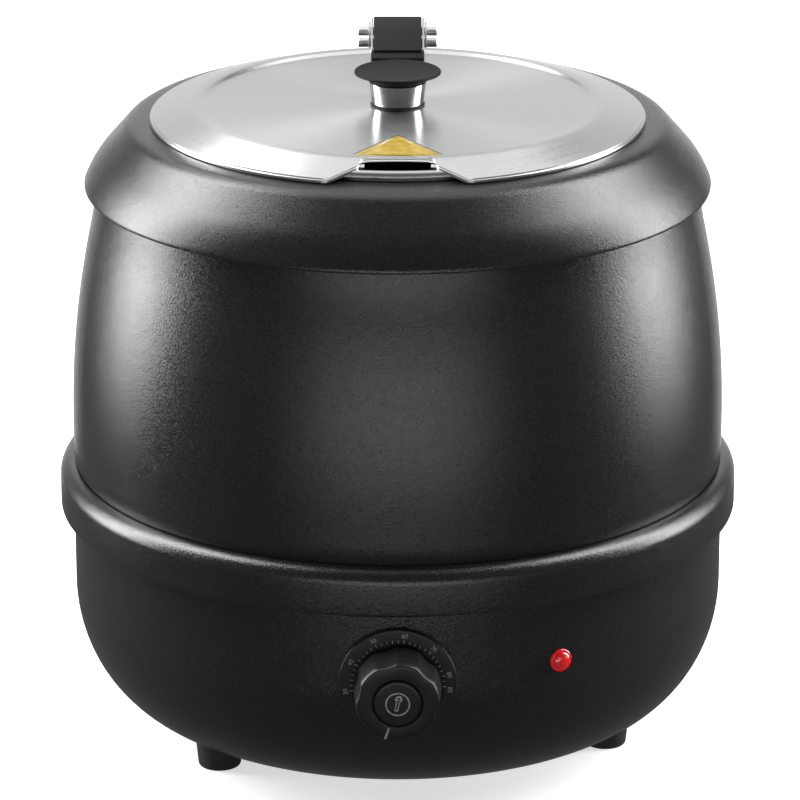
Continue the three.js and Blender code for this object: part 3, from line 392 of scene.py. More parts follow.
def moulded_black(name="moulded_black", low=0.21, high=0.28, tone=0.018, texture=0.03, scale=700, shine=0.5):
    """Black plastic with a fine moulded grain and faint upright scuffs."""
    n = Nodes(name)
    fine = n.noise(scale, roughness=0.6)
    clouds = n.noise(22, detail=2)
    scuffs = n.noise(160, detail=4, roughness=0.7, stretch=(1, 1, 0.15))
    color = n.mix(clouds, (tone, tone, tone * 1.05), (tone * 1.5, tone * 1.5, tone * 1.55))
    roughness = n.math("ADD", n.ramp(clouds, low, high), n.ramp(scuffs, -0.03, 0.04))
    n.set(Specular_IOR_Level=shine)
    return n.done(color, roughness, n.bump(fine, texture))


def spun_steel(name="spun_steel", tone=(0.55, 0.555, 0.565), low=0.2, high=0.27):
    """Steel brushed round Z: the noise is read in radius and height, so each scratch runs round."""
    n = Nodes(name)
    split = n.add("ShaderNodeSeparateXYZ")
    n.link(n.place, split.inputs[0])
    x, y, z = split.outputs
    radius = n.math("SQRT", n.math("ADD", n.math("MULTIPLY", x, x), n.math("MULTIPLY", y, y)))
    angle = n.math("ARCTAN2", y, x)
    join = n.add("ShaderNodeCombineXYZ")
    for source, socket in zip((radius, n.math("MULTIPLY", angle, 0.004), z), join.inputs):
        n.link(source, socket)
    lines = n.noise(2600, roughness=0.7, place=join.outputs[0])
    wide = n.noise(420, detail=2, roughness=0.6, place=join.outputs[0])
    smears = n.noise(24)
    color = n.mix(lines, shade(tone, 0.93), tone, start=0.3, end=0.7)
    roughness = n.math("ADD", n.ramp(wide, low, high), n.ramp(smears, -0.02, 0.03))
    tangent = n.add("ShaderNodeTangent", direction_type="RADIAL", axis="Z")
    n.link(tangent.outputs["Tangent"], n.shader.inputs["Tangent"])
    # A quarter turn lays the highlight across the scratches.
    n.set(Metallic=1.0, Anisotropic=0.7, Anisotropic_Rotation=0.25)
    return n.done(color, roughness, n.bump(lines, 0.02))


def plain_metal(name, tone, low, high, texture=0.02, scale=260, stretch=(1, 1, 1)):
    """Metal with a cloudy gloss between low and high, and a grain that stretch can draw out."""
    n = Nodes(name)
    grain = n.noise(scale, detail=4, roughness=0.65, stretch=stretch)
    clouds = n.noise(30, detail=2)
    roughness = n.math("ADD", n.ramp(clouds, low, high), n.ramp(grain, -0.05, 0.05))
    n.set(Metallic=1.0)
    return n.done(n.mix(grain, shade(tone, 0.82), tone), roughness, n.bump(grain, texture))


def soft_rubber(name, tone):
    """Rubber with a fine grain, greyed by dust in patches."""
    n = Nodes(name)
    grain = n.noise(1100)
    dust = n.noise(90, detail=4, roughness=0.7)
    color = n.mix(dust, tone, shade(tone, 2.2, 0.004), start=0.45, end=0.8)
    return n.done(color, n.ramp(dust, 0.62, 0.85), n.bump(grain, 0.08))


def sleeve(name, tone, woven=False):
    """A wire's sleeve: smooth plastic, or woven glass fibre."""
    scale, low, high, texture = (1500, 0.7, 0.9, 0.1) if woven else (500, 0.35, 0.5, 0.03)
    n = Nodes(name)
    grain = n.noise(scale)
    return n.done(n.mix(grain, shade(tone, 0.7), tone), n.ramp(grain, low, high), n.bump(grain, texture))


def lamp_red():
    """A red lens with small facets inside it, faintly lit."""
    n = Nodes("lamp_red")
    voronoi = n.add("ShaderNodeTexVoronoi", feature="F1")
    voronoi.inputs["Scale"].default_value = 620
    n.link(n.place, voronoi.inputs["Vector"])
    facets = voronoi.outputs["Distance"]
    color = n.mix(facets, (0.75, 0.006, 0.012), (0.3, 0.002, 0.004), start=0.1, end=0.9)
    n.set(Coat_Weight=1.0, Coat_Roughness=0.05, Emission_Color=(0.8, 0.01, 0.02, 1), Emission_Strength=0.22)
    return n.done(color, n.ramp(facets, 0.12, 0.3), n.bump(facets, 0.3))


def print_white():
    n = Nodes("print_white")
    wear = n.noise(700)
    return n.done(n.mix(wear, (0.2, 0.2, 0.2), (0.42, 0.42, 0.42)), n.ramp(wear, 0.5, 0.65))


def label_yellow():
    n = Nodes("label_yellow")
    foil = n.noise(260, roughness=0.6)
    color = n.mix(foil, (0.2, 0.13, 0.006), (0.38, 0.26, 0.012))
    return n.done(color, n.ramp(foil, 0.25, 0.4), n.bump(foil, 0.05))


# The record's slots, each with its material.
MATERIALS = {
    "powder_coat": powder_coat(),
    "black_plastic": moulded_black(),
    "stainless": spun_steel(),
    "polished_steel": plain_metal("polished_steel", (0.74, 0.74, 0.75), 0.04, 0.07, texture=0.003),
    "rubber": soft_rubber("rubber", (0.008, 0.008, 0.008)),
    "zinc_plated": plain_metal("zinc_plated", (0.5, 0.51, 0.52), 0.28, 0.42),
    "silicone": soft_rubber("silicone", (0.3, 0.28, 0.24)),
    "brass": plain_metal("brass", (0.6, 0.42, 0.16), 0.25, 0.35),
    "aluminium": plain_metal("aluminium", (0.62, 0.62, 0.63), 0.3, 0.42, stretch=(1, 12, 1)),
    "phenolic": moulded_black("phenolic", 0.45, 0.6, tone=0.016, texture=0.06),
    "red_lens": lamp_red(),
    "brown_wire": sleeve("brown_wire", (0.1, 0.04, 0.016)),
    "blue_wire": sleeve("blue_wire", (0.02, 0.07, 0.25)),
    "white_wire": sleeve("white_wire", (0.6, 0.58, 0.52), woven=True),
    "red_wire": sleeve("red_wire", (0.26, 0.01, 0.008)),
    "yellow_plastic": sleeve("yellow_plastic", (0.58, 0.36, 0.02)),
}
# Materials of single pieces that differ from their slot's own.
PRINT = print_white()
FOIL = label_yellow()
KNOB_BLACK = moulded_black("knob_black", 0.5, 0.64, tone=0.006, texture=0.05, scale=520, shine=0.1)
DIAL_BLACK = moulded_black("dial_black", 0.3, 0.4, tone=0.008, texture=0.04, scale=600, shine=0.3)
BOWL_BLACK = powder_coat("bowl_black", 0.1, 0.13, shine=0.5)
POT_STEEL = spun_steel("pot_steel", (0.52, 0.525, 0.53), 0.24, 0.32)
LID_STEEL = spun_steel("lid_steel", (0.6, 0.602, 0.608), 0.25, 0.32)
BRACKET_STEEL = plain_metal("bracket_steel", (0.6, 0.605, 0.61), 0.34, 0.46, texture=0.01, scale=500,
                            stretch=(1, 1, 8))


def settle(obj, body, slot, nodes=(), material=None):
    """Gives a piece its body and its material, the slot's own unless another is given, and hides the CAD
    nodes it stands for.
    """
    obj.data.materials.clear()
    obj.data.materials.append(material or MATERIALS[slot])
    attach(obj, body)
    if nodes:
        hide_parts(*nodes)


# ------------------------------------------------------------------ housing
def bowl():
    turn = (BOWL.turn_r, BOWL.turn_z)
    wall = BOWL.r - BOWL.turn_r
    inner_wall = BOWL.inner_r - BOWL.turn_r
    outer = [(BOWL.opening_r, BOWL.z), *arc(*turn, wall, BOWL.turn_z - BOWL.z, -90, 0, 28),
             (BOWL.r, BOWL.seam_z)]
    belt = rounded([(BOWL.r, BELT.z, 0.35), (BELT.edge_r, BELT.z, 0.7), (BELT.r, BELT.edge_z, 0.5),
                    (BELT.r, BELT.round_z)], closed=False)
    curl = BELT.r - BELT.round_r
    top = arc(BELT.round_r, BELT.round_z, curl, curl, 0, 90, 12)
    ledge = [(BELT.round_r, BOWL.ledge_z), (BOWL.ledge_r, BOWL.ledge_z), (BOWL.ledge_r, BOWL.step_z),
             (BOWL.inner_r, BOWL.taper_z), (BOWL.inner_r, BOWL.turn_z)]
    inner = [*arc(*turn, inner_wall, BOWL.turn_z - BOWL.inner_z, 0, -90, 16)[1:],
             (BOWL.opening_r, BOWL.opening_z)]
    obj = lathe("bowl_shell", outer + belt + top + ledge + inner, 256, sharp=40)
    settle(obj, "housing", "black_plastic", ["base_bowl"], BOWL_BLACK)


def barrel_radius(z):
    if z > BARREL.waist_z:
        return BARREL.waist_r - BARREL.neck_slope * (z - BARREL.waist_z)
    return BARREL.r - BARREL.taper * max(0, z - BARREL.taper_z) ** BARREL.power


def smooth_barrel(z):
    """The side's radius with its kink at the waist drawn out over a short height."""
    shifts = (-6, -3, 0, 3, 6)
    return sum(barrel_radius(z + shift) for shift in shifts) / len(shifts) - SKIN


def barrel():
    b = BARREL
    neck_r = smooth_barrel(b.neck_z)
    foot = arc(b.foot_r, b.roll_z, b.r - SKIN - b.foot_r, b.roll_z - b.foot_z, -90, 0, 10)
    side = [(smooth_barrel(z), z) for z in range(b.side_z, b.neck_z, 3)]
    crown = arc(b.crown_r, b.neck_z, neck_r - b.crown_r, b.crown_z - b.neck_z, 0, 90, 8)[1:]
    outer = foot + side + crown + [(b.flange_r, b.crown_z)]
    under = [(b.flange_r, b.crown_z - b.wall), (b.crown_r, b.crown_z - b.wall)]
    inner = [(r - b.wall, z - b.inner_drop) for r, z in reversed(outer) if b.inner_z < z < b.neck_z]
    profile = outer + under + inner + [(b.foot_r - b.wall, b.foot_z + SKIN)]
    settle(lathe("barrel_shell", profile, 256), "housing", "powder_coat", ["barrel"])


def well():
    w = WELL
    corner = (w.corner_r, w.corner_z)
    rim = (w.rim_r, w.rim_z)
    thick_rim = w.rim + w.wall
    thin_corner = w.corner - w.wall
    outer = [(0, w.corner_z - w.corner), *arc(*corner, w.corner, w.corner, -90, 0, 8),
             *arc(*rim, w.rim, w.rim, 180, 90, 5), (w.lip_r, w.lip_z), (w.seat_r, w.seat_z),
             (w.edge_r, w.seat_z)]
    inner = [(w.edge_r, w.seat_z + w.seat_wall), (w.inner_seat_r, w.seat_z + w.seat_wall),
             (w.inner_lip_r, w.lip_z + w.wall), *arc(*rim, thick_rim, thick_rim, 90, 180, 5),
             *arc(*corner, thin_corner, thin_corner, 0, -90, 8), (0, w.corner_z - thin_corner)]
    settle(lathe("well_shell", outer + inner), "housing", "stainless", ["water_well"])


# ------------------------------------------------------------------ pot, collar and lid
def pot():
    p = POT
    floor_z = p.corner_z - p.corner
    corner = (p.corner_r, p.corner_z)
    outer = [(0, floor_z), (p.flat_r, floor_z), *arc(*corner, p.corner, p.corner, -90, 0, 10),
             (p.corner_r + p.corner, p.neck_z)]
    bead = arc(p.bead_r, p.bead_z, p.bead, p.bead, -150, 158, 20)
    inner = [(p.inner_r, p.lip_z), (p.inner_r, p.corner_z),
             *arc(*corner, p.inner_corner, p.inner_corner, 0, -90, 10), (0, p.corner_z - p.inner_corner)]
    settle(lathe("pot_shell", outer + bead + inner, sharp=50), "pot", "stainless", ["soup_pot"], POT_STEEL)


def collar():
    """The side is one arc whose slope runs from low_angle at the edge to high_angle at the crease."""
    c = COLLAR
    low = math.radians(c.low_angle)
    centre = (c.r - c.bend * math.cos(low), c.side_z - c.bend * math.sin(low))
    side = arc(*centre, c.bend, c.bend, c.low_angle, c.high_angle, 16)
    last_r, last_z = side[-1]
    crease_r = last_r - (c.crease_z - last_z) * math.tan(math.radians(c.high_angle))
    edge = rounded([(c.return_r, c.edge_z), (c.r, c.edge_z, c.lip), (c.r, c.side_z)], closed=False)
    top = rounded([side[-1], (crease_r, c.crease_z, c.crease), (c.brink_r, c.top_z, c.brink),
                   (c.hole_r, c.top_z, 0.5), (c.hole_r, c.hole_z)], closed=False, steps=10)[1:]
    inner = [(c.brink_r, c.top_z - c.wall), (crease_r - c.inner_crease_in, c.inner_crease_z),
             (last_r - c.inner_shoulder, last_z - c.inner_shoulder), (c.inner_r, c.side_z),
             (c.inner_lip_r, c.edge_z + c.wall), (c.return_r, c.edge_z + c.wall)]
    obj = lathe("collar_shell", edge + side[1:] + top + inner, 256, sharp=38)
    settle(obj, "collar_unit", "powder_coat", ["collar"])


def lid_height(r):
    """The lid's upper face: a shallow panel, a step up to a ridge and a slope out to the rim."""
    if r < LID.panel_r:
        return LID.centre_z + LID.dish * (r / LID.panel_r) ** 2
    if r < LID.panel_r + LID.step:
        t = (r - LID.panel_r) / LID.step
        return LID.panel_z + LID.rise * t * t * (3 - 2 * t)
    fall = LID.slope * (r - LID.ridge_r)
    if fall < -LID.ease:
        return LID.ridge_z
    if fall < LID.ease:
        return LID.ridge_z - (fall + LID.ease) ** 2 / 2
    return LID.ridge_z - fall


def notch_outline():
    """The right half of the ladle notch, from the middle of its inner edge out to the lid's rim."""
    n = NOTCH
    straight_end = n.slot_x - n.corner
    inner = [(x, n.slot_y) for x in range(0, straight_end + 1, n.straight_step)]
    corner = [(x, -y) for x, y in arc(straight_end, -n.slot_y - n.corner, n.corner, n.corner, 90, 4, 8)][1:]
    return inner + corner + NOTCH_FLARE


def lid_edge():
    """The lid's whole edge as (x, y) points, round from the notch's middle."""
    steps = 160
    start = math.degrees(math.atan2(NOTCH.mouth_x, NOTCH.mouth_y))
    rim = [around(LID.rim_r, start + (180 - start) * i / steps) for i in range(steps + 1)]
    half = [(x, -y) for x, y in notch_outline()] + rim
    return half + [(-x, y) for x, y in half[-2:0:-1]]


def join_rings(faces, ring, following):
    """Adds the faces between two closed rings of points."""
    count = len(ring)
    for i in range(count):
        j = (i + 1) % count
        faces.append([ring[i], ring[j], following[j], following[i]])


def lid_sheet(verts, faces, edge, drop):
    """One face of the lid, from the hole out to the hem. Gives its first and its last ring."""
    steps = 34
    rows = [[p.normalized() * r for p in edge] for r in LID_RINGS]
    slopes = [p.length - LID.hem_from - LID.panel_r for p in edge]
    for k in range(1, steps + 1):
        rows.append([p.normalized() * (LID.panel_r + slope * k / steps) for p, slope in zip(edge, slopes)])
    rings = []
    for row in rows:
        rings.append(range(len(verts), len(verts) + len(row)))
        verts.extend((p.x, p.y, lid_height(p.length) - drop) for p in row)
    for ring, following in zip(rings, rings[1:]):
        join_rings(faces, ring, following)
    return rings[0], rings[-1]


def lid_hem(verts, faces, edge):
    """The folded edge: one small section carried round the lid, notch and all."""
    section = rounded([(HEM.width, HEM.inner_top, 0.3), (HEM.crown, HEM.crown_z, 0.8),
                       (HEM.outer, HEM.outer_z, 0.7), (HEM.outer, -HEM.drop, 0.7),
                       (HEM.width, -HEM.drop, 0.3)])
    rings = []
    for i, p in enumerate(edge):
        along = (edge[(i + 1) % len(edge)] - edge[i - 1]).normalized()
        inward = Vector((-along.y, along.x))
        if inward.dot(p) > 0:
            inward = -inward
        rings.append(range(len(verts), len(verts) + len(section)))
        for reach, height in section:
            q = p + inward * reach
            verts.append((q.x, q.y, lid_height(p.length) + height))
    for ring, following in zip(rings, rings[1:] + rings[:1]):
        join_rings(faces, ring, following)


def lid():
    edge = [Vector(p) for p in lid_edge()]
    verts = []
    faces = []
    top = lid_sheet(verts, faces, edge, 0)
    bottom = lid_sheet(verts, faces, edge, LID.wall)
    for upper, lower in zip(top, bottom):
        join_rings(faces, upper, lower)
    lid_hem(verts, faces, edge)
    settle(finish_mesh("lid_shell", verts, faces, sharp=40), "lid_unit", "stainless", ["lid"], LID_STEEL)


def knob():
    k = KNOB
    washer = rounded([(k.bore_r, k.washer_z), (k.washer_r, k.washer_z, 0.2), (k.washer_r, k.washer_top, 0.2),
                      (k.bore_r, k.washer_top)])
    settle(lathe("knob_seal", washer, 96), "lid_unit", "rubber", ["knob_washer"])
    ferrule = rounded([(k.bore_r, k.ferrule_z), (k.ferrule_r, k.ferrule_z, 0.5), (k.waist_r, k.waist_z, 2),
                       (k.ferrule_top_r, k.ferrule_top, 0.3), (k.bore_r, k.ferrule_top)])
    settle(lathe("knob_collar", ferrule, 128), "lid_unit", "polished_steel", ["knob_ferrule"])
    flare = arc(k.flare_r, k.flare_z, k.flare_reach, k.flare_rise, 180, 90, 10)
    brim = rounded([(k.flare_r, k.flare_z + 3.8), (k.edge_r, k.edge_z, 0.4), (k.top_r, k.top_z, 0.5),
                    (k.top_r - 1.2, k.top_z - 0.2, 0.8), (k.top_r - 3.6, k.top_z - 0.6, 2)], closed=False)
    under = [(0, k.cup_z), (k.bore_r, k.cup_z), (k.bore_r, k.neck_z), (k.neck_r, k.neck_z)]
    cap = under + flare + brim + [(10, k.dish_z + 0.07), (0, k.dish_z)]
    settle(lathe("knob_top", cap, 160, sharp=45), "lid_unit", "black_plastic", ["knob_cap"], KNOB_BLACK)


def blank_label():
    """A plain triangle of foil laid on the lid's curve, made in rows from its tip."""
    s = STICKER
    tip = Vector((0, s.tip_y))
    left = Vector((-s.half, s.base_y))
    right = Vector((s.half, s.base_y))
    steps = 12
    verts = []
    faces = []
    for i in range(steps + 1):
        for j in range(i + 1):
            p = tip.lerp(left, i / steps).lerp(tip.lerp(right, i / steps), j / max(i, 1))
            verts.append((p.x, p.y, lid_height(p.length) + s.lift))
    for i in range(steps):
        first = i * (i + 1) // 2
        second = first + i + 1
        for j in range(i + 1):
            faces.append([first + j, second + j, second + j + 1])
            if j < i:
                faces.append([first + j, second + j + 1, first + j + 1])
    sheet = finish_mesh("blank_label", verts, faces)
    thicken(sheet, s.foil)
    settle(sheet, "lid_unit", "yellow_plastic", (), FOIL)
    label_border([tip, left, right])


def label_border(corners):
    """A thin dark line along the label's three edges, laid on the lid's own curve."""
    steps = 24
    verts = []
    faces = []
    for a, b in zip(corners, corners[1:] + corners[:1]):
        across = (b - a).normalized()
        inward = Vector((-across.y, across.x)) * STICKER.line
        first = len(verts)
        for i in range(steps + 1):
            for p in (a.lerp(b, i / steps), a.lerp(b, i / steps) + inward):
                verts.append((p.x, p.y, lid_height(p.length) + STICKER.line_lift))
        for k in range(first, first + 2 * steps, 2):
            faces.append([k, k + 1, k + 3, k + 2])
    border = finish_mesh("label_border", verts, faces)
    thicken(border, STICKER.ink)
    settle(border, "lid_unit", "black_plastic")


# ------------------------------------------------------------------ hinge
def plate_pair(name, outline, x0, x1, holes, bevel):
    """Two like plates, one at each side of the middle, between x0 and x1."""
    depth = x1 - x0
    return [prism(name + end, outline, depth, bevel, side_plane(x), holes=holes)
            for end, x in (("_r", x0), ("_l", -x1))]


def heel():
    """The round of the lid's bracket and cover about the hinge pin."""
    return arc(*PIN.at, HEEL.r, HEEL.r, HEEL.start, HEEL.end, 20)


def lid_bracket():
    b = LID_BRACKET
    under = [(b.front_y, b.z), (b.fold_y, b.z), (b.rim_y, b.rim_z)]
    cheek = under + heel() + [(136.4, 331.2), (115, 329.6), (b.front_y, 326.3)]
    plates = plate_pair("lid_cheek", cheek, b.x0, b.x1, [circle(*PIN.at, PIN.bore_r)], 0.2)
    floor = under + [(b.rim_y, b.rim_z + 0.9), (b.fold_y + 0.1, b.z + 0.95), (b.front_y, b.z + 0.95)]
    base = prism("lid_bracket_base", floor, 2 * b.base_x, 0.15, side_plane(-b.base_x))
    channel = merge("lid_hinge_channel", *plates, base)
    settle(channel, "lid_unit", "stainless", ["lid_bracket"], BRACKET_STEEL)


def hinge_cover():
    c = COVER
    fold = [(c.lip_y, c.under_z), (LID_BRACKET.fold_y, c.under_z),
            (LID_BRACKET.rim_y, LID_BRACKET.rim_z + 1.4)]
    roof = [c.back, c.crease, (c.front_y, c.foot_z)]
    outline = fold + heel() + roof + [(c.front_y, c.lip_z), (c.lip_y, c.lip_z)]
    shell = prism("cover_body", outline, 2 * c.x, 0.45, side_plane(-c.x), segments=3)
    tongue = [(80.1, 323.55), (90.1, 323.55), (90.1, 325.4), (81, 324.85), (80.1, 324.4)]
    toe = prism("cover_toe", tongue, 2 * c.toe_x, 0.3, side_plane(-c.toe_x), segments=3)
    settle(merge("hinge_cover_shell", shell, toe), "lid_unit", "black_plastic", ["hinge_cover"], KNOB_BLACK)


def shoulder(along, off):
    """A place on the back of the collar: so far down its slope from the crease, and so far off it."""
    slope = math.radians(COLLAR.high_angle)
    y, z = SHOULDER.crease
    return (y + along * math.sin(slope) + off * math.cos(slope),
            z - along * math.cos(slope) + off * math.sin(slope))


def collar_bracket():
    s = SHOULDER
    ear = [(127.1, 316.9), (131.5, 316.9), (133.4, 315.7), (147.9, 299.3), (149, 300.3), (141, 317.6),
           (139, 326.6), (136, 329.1), (130, 329.1), (127.1, 325.6)]
    ears = plate_pair("collar_ear", rounded([(*p, EAR.fillet) for p in ear]), EAR.x0, EAR.x1,
                      [circle(*PIN.at, PIN.ear_bore_r), circle(*STOP.at, STOP.bore_r)], 0.2)
    footing = [shoulder(s.plate_from, s.under), shoulder(s.plate_to, s.under), shoulder(s.plate_to, s.over),
               shoulder(s.plate_from, s.over)]
    plate = prism("collar_plate", footing, 2 * s.half, 0.25, side_plane(-s.half))
    bracket = merge("collar_hinge_plate", *ears, plate)
    settle(bracket, "collar_unit", "stainless", ["hinge_bracket"], BRACKET_STEEL)


def hinge_rods():
    for name, rod, node in (("hinge_rod", PIN, "hinge_pin"), ("stop_rod", STOP, "stop_pin")):
        y, z = rod.at
        profile = rounded([(0, -ROD_HALF), (rod.r, -ROD_HALF, 0.5), (rod.r, ROD_HALF, 0.5), (0, ROD_HALF)])
        obj = lathe(name, profile, 48, place=moved(y=y, z=z) @ turned(90, "Y"))
        settle(obj, "collar_unit", "stainless", [node], BRACKET_STEEL)


def bracket_screws():
    screw = BRACKET_SCREW
    y, z = shoulder(SHOULDER.screw, screw.stand)
    for i, side in enumerate((-1, 1), 1):
        head = screw_head(f"shoulder_screw_{i}", screw.head_r, screw.head_h)
        head.data.transform(moved(side * screw.x, y, z) @ turned(COLLAR.high_angle - 90, "X"))
        settle(head, "collar_unit", "stainless", [f"bracket_screw_{i}"], BRACKET_STEEL)


def lid_rivets():
    tilt = math.degrees(math.atan(LID.slope))
    under = [(0, -2.2), (1.6, -2.1), (RIVET.head_r, -1.5), (RIVET.head_r, -1.15), (RIVET.r, -1.1)]
    over = [(RIVET.r, 1.85), (RIVET.head_r, 1.9), (2.1, 2.3), (1.5, 2.75), (0, 2.85)]
    for i, side in enumerate((-1, 1), 1):
        place = moved(side * RIVET.x, RIVET.y, lid_height(RIVET.y)) @ turned(-tilt, "X")
        rivet = lathe(f"rim_rivet_{i}", under + over, 40, place=place)
        settle(rivet, "lid_unit", "stainless", [f"lid_rivet_{i}"], BRACKET_STEEL)


def screw_head(name, r, h, slot_depth=0.8, shank=0.0):
    """A pan head on z = 0 that rises to h, with a cross recess in its crown and any shank below."""
    arm = r * 0.16
    reach = r * 0.62
    shoulder_z = h * 0.55

    def recess(rr, zz, angle):
        near, far = sorted((abs(rr * math.cos(angle)), abs(rr * math.sin(angle))))
        cut = zz > shoulder_z and near < arm and far < reach
        return rr, zz - slot_depth * cut
    crown = [(r * k / 14, h - 0.35 * (k / 14) ** 2 * h) for k in range(1, 12)]
    side = [(r * 0.9, shoulder_z), (r, h * 0.2), (r, 0)]
    stem = [(r * 0.5, 0), (r * 0.5, -shank)] if shank else []
    profile = [(0, h - slot_depth)] + crown + side + stem + [(0, -shank)]
    return lathe(name, profile, 96, shape=recess, sharp=30)


# ------------------------------------------------------------------ dial and lamp
def bezel():
    rim = [(28.2, 2.8), (28.42, 1.4, 0.2), (28.42, 0.9, 0.5), (27.6, 0, 0.8)]
    groove = [(22.3, 0), (22, 0.35), (21.6, 0.35), (21.3, 0)]
    profile = rounded([(5.9, 0.5), (5.9, 2.8)] + rim + groove + [(7, 0)])
    plate = lathe("dial_plate", profile, 160, place=facing_back(DIAL.face_y, DIAL.z))
    settle(plate, "housing", "black_plastic", ["dial_bezel"], DIAL_BLACK)


def scale_marks():
    """The printed scale: short and long marks, and figures outside them."""
    s = SCALE
    face = facing_front(DIAL.face_y, DIAL.z)
    pieces = []
    for mark in range(s.marks):
        is_long = mark % s.long_every == 0 or mark == s.marks - 1
        outline = box(-s.half, s.from_r, s.half, s.long_r if is_long else s.short_r)
        angle = s.start + s.pitch * mark
        pieces.append(prism(f"tick_{mark}", outline, 0.06, place=face @ turned(-angle, "Z")))
    for value in s.values:
        angle = s.start + s.degrees_each * (value - s.low)
        pieces.append(figure(str(value), s.figure, face @ turned(-angle, "Z") @ moved(y=s.figure_r)))
    settle(merge("dial_scale", *pieces), "housing", "black_plastic", (), PRINT)


def figure(text, size, place):
    """Printed digits, standing on the place's X axis."""
    curve = bpy.data.curves.new("figure", "FONT")
    curve.body = text
    curve.size = size * MM
    curve.align_x = "CENTER"
    curve.extrude = 0.03 * MM
    return add_object("figure_" + text, curve_mesh(curve), place=place)


def grip():
    """The knob that turns, with a ring of scallops cut in its side."""
    d = DIAL

    def scallop(r, depth, angle):
        cut = max(0.0, math.cos(d.scallops * (angle - math.radians(d.phase))))
        weight = min(1.0, max(0.0, (r - d.scallop_from) / d.scallop_fade))
        return r - d.scallop * cut * weight, depth
    skirt = [(3.4, 0.1), (20.4, 0.1, 0.4), (20.9, 1.2, 0.8), (20.2, 17.6, 1), (19.3, 20.6, 1.2)]
    recess = [(12.05, 20.6, 0.35), (12.05, 18.3, 0.3), (11.2, 18.3), (3.4, 18.3)]
    place = facing_front(d.knob_y, d.z)
    obj = lathe("dial_grip", rounded(skirt + recess), 240, shape=scallop, place=place, sharp=50)
    settle(obj, "dial", "black_plastic", ["dial_knob"], DIAL_BLACK)


def grip_centre():
    profile = rounded([(0, 0.1), (11.45, 0.1), (11.45, 2.45, 0.5), (10.4, 2.85, 0.5), (0, 2.85)])
    obj = lathe("dial_centre", profile, 128, place=facing_front(DIAL.cap_y, DIAL.z))
    settle(obj, "dial", "black_plastic", ["dial_cap"], DIAL_BLACK)


def glyph():
    """A plain thermometer in a ring, printed on the dial's centre."""
    place = facing_front(DIAL.glyph_y, DIAL.z)
    leaning = place @ turned(-12, "Z")
    ring = prism("glyph_ring", circle(0, 0, 5.9, 64), INK, place=place, holes=[circle(0, 0, 5.2, 64)])
    tube = rounded([(-0.9, -3.6, 0.5), (0.9, -3.6, 0.5), (0.9, 2, 0.3), (-0.9, 2, 0.3)])
    hollow = rounded(box(-0.4, -3.1, 0.4, 1.4, 0.2))
    stem = prism("glyph_stem", tube, INK, place=leaning, holes=[hollow])
    bulb = prism("glyph_bulb", circle(0, 2.6, 1.75, 40), INK, place=leaning, holes=[circle(0, 2.9, 0.6, 24)])
    settle(merge("dial_glyph", ring, stem, bulb), "dial", "black_plastic", (), PRINT)


def pointer():
    place = facing_front(DIAL.pointer_y, DIAL.z) @ turned(DIAL.pointer_turn, "Z")
    obj = prism("dial_pointer", box(-0.5, 13, 0.5, 19), 0.2, place=place)
    settle(obj, "dial", "black_plastic", (), PRINT)


def lamp():
    x, y = around(LAMP.ring, LAMP.angle)
    place = moved(x, y, LAMP.z) @ turned(LAMP.angle, "Z") @ turned(90, "X")
    stem = [(0, LAMP.stem_in), (LAMP.stem_r, LAMP.stem_in), (LAMP.stem_r, SKIN)]
    rim = rounded([(LAMP.rim_r, SKIN, 0.2), (LAMP.rim_r, 1.3, 0.3), (5.2, LAMP.rim_h, 0.2),
                   (4.7, LAMP.rim_h, 0.3)], closed=False)
    dome = arc(0, LAMP.rim_h, LAMP.dome_r, LAMP.dome_h, 0, 90, 10)[:-1] + [(0, LAMP.rim_h + LAMP.dome_h)]
    lens = lathe("lamp_dome", stem + rim + dome, 64, place=place, sharp=60)
    settle(lens, "housing", "red_lens", ["lamp_lens"])


# ------------------------------------------------------------------ underside and back
def upside_down(x, y, z):
    """Carries a screw made head up so that its head hangs down from z."""
    return moved(x, y, z) @ turned(180, "X")


def feet():
    f = FOOT
    sink = [(f.bore_r, f.top_z), (f.bore_r, f.sink_z), (f.sink_r, f.sink_z, 0.3), (f.sink_r, f.tread_z, 0.5)]
    wall = [(f.tread_r, f.tread_z, 0.8), (f.base_r, 0.9, 0.6), (f.top_r, 12.6, 0.8),
            (f.top_r - 0.15, f.top_z, 0.5)]
    profile = rounded(sink + wall)
    for i in range(f.count):
        x, y = around(f.ring, f.first_angle + 360 / f.count * i)
        pad = lathe(f"foot_pad_{i + 1}", profile, 64, place=moved(x, y))
        settle(pad, "housing", "rubber", [f"foot_{i + 1}"])
        bolt = screw_head(f"foot_bolt_{i + 1}", f.screw_r, f.screw_h, f.slot, f.shank)
        bolt.data.transform(upside_down(x, y, f.screw_z))
        settle(bolt, "housing", "zinc_plated", [f"foot_screw_{i + 1}"])


def base_plate():
    b = BASE
    screws = [around(b.screw_ring, b.screw_angle + 360 / b.screws * i) for i in range(b.screws)]
    vents = [around(b.vent_ring, 360 / b.vents * i) for i in range(b.vents)]
    holes = [circle(*at, b.screw_hole, 20) for at in screws] + [circle(*at, b.vent_r, 24) for at in vents]
    holes.append(circle(0, 0, b.stud_hole, 24))
    plate = prism("base_plate", circle(0, 0, b.r, 128), b.thickness, 0.2, moved(z=b.z), holes=holes)
    settle(plate, "housing", "zinc_plated", ["bottom_plate"])
    for i, (x, y) in enumerate(screws, 1):
        head = screw_head(f"plate_screw_{i}", b.head_r, b.head_h, shank=b.shank)
        head.data.transform(upside_down(x, y, b.head_z))
        settle(head, "housing", "zinc_plated", [f"bottom_screw_{i}"])


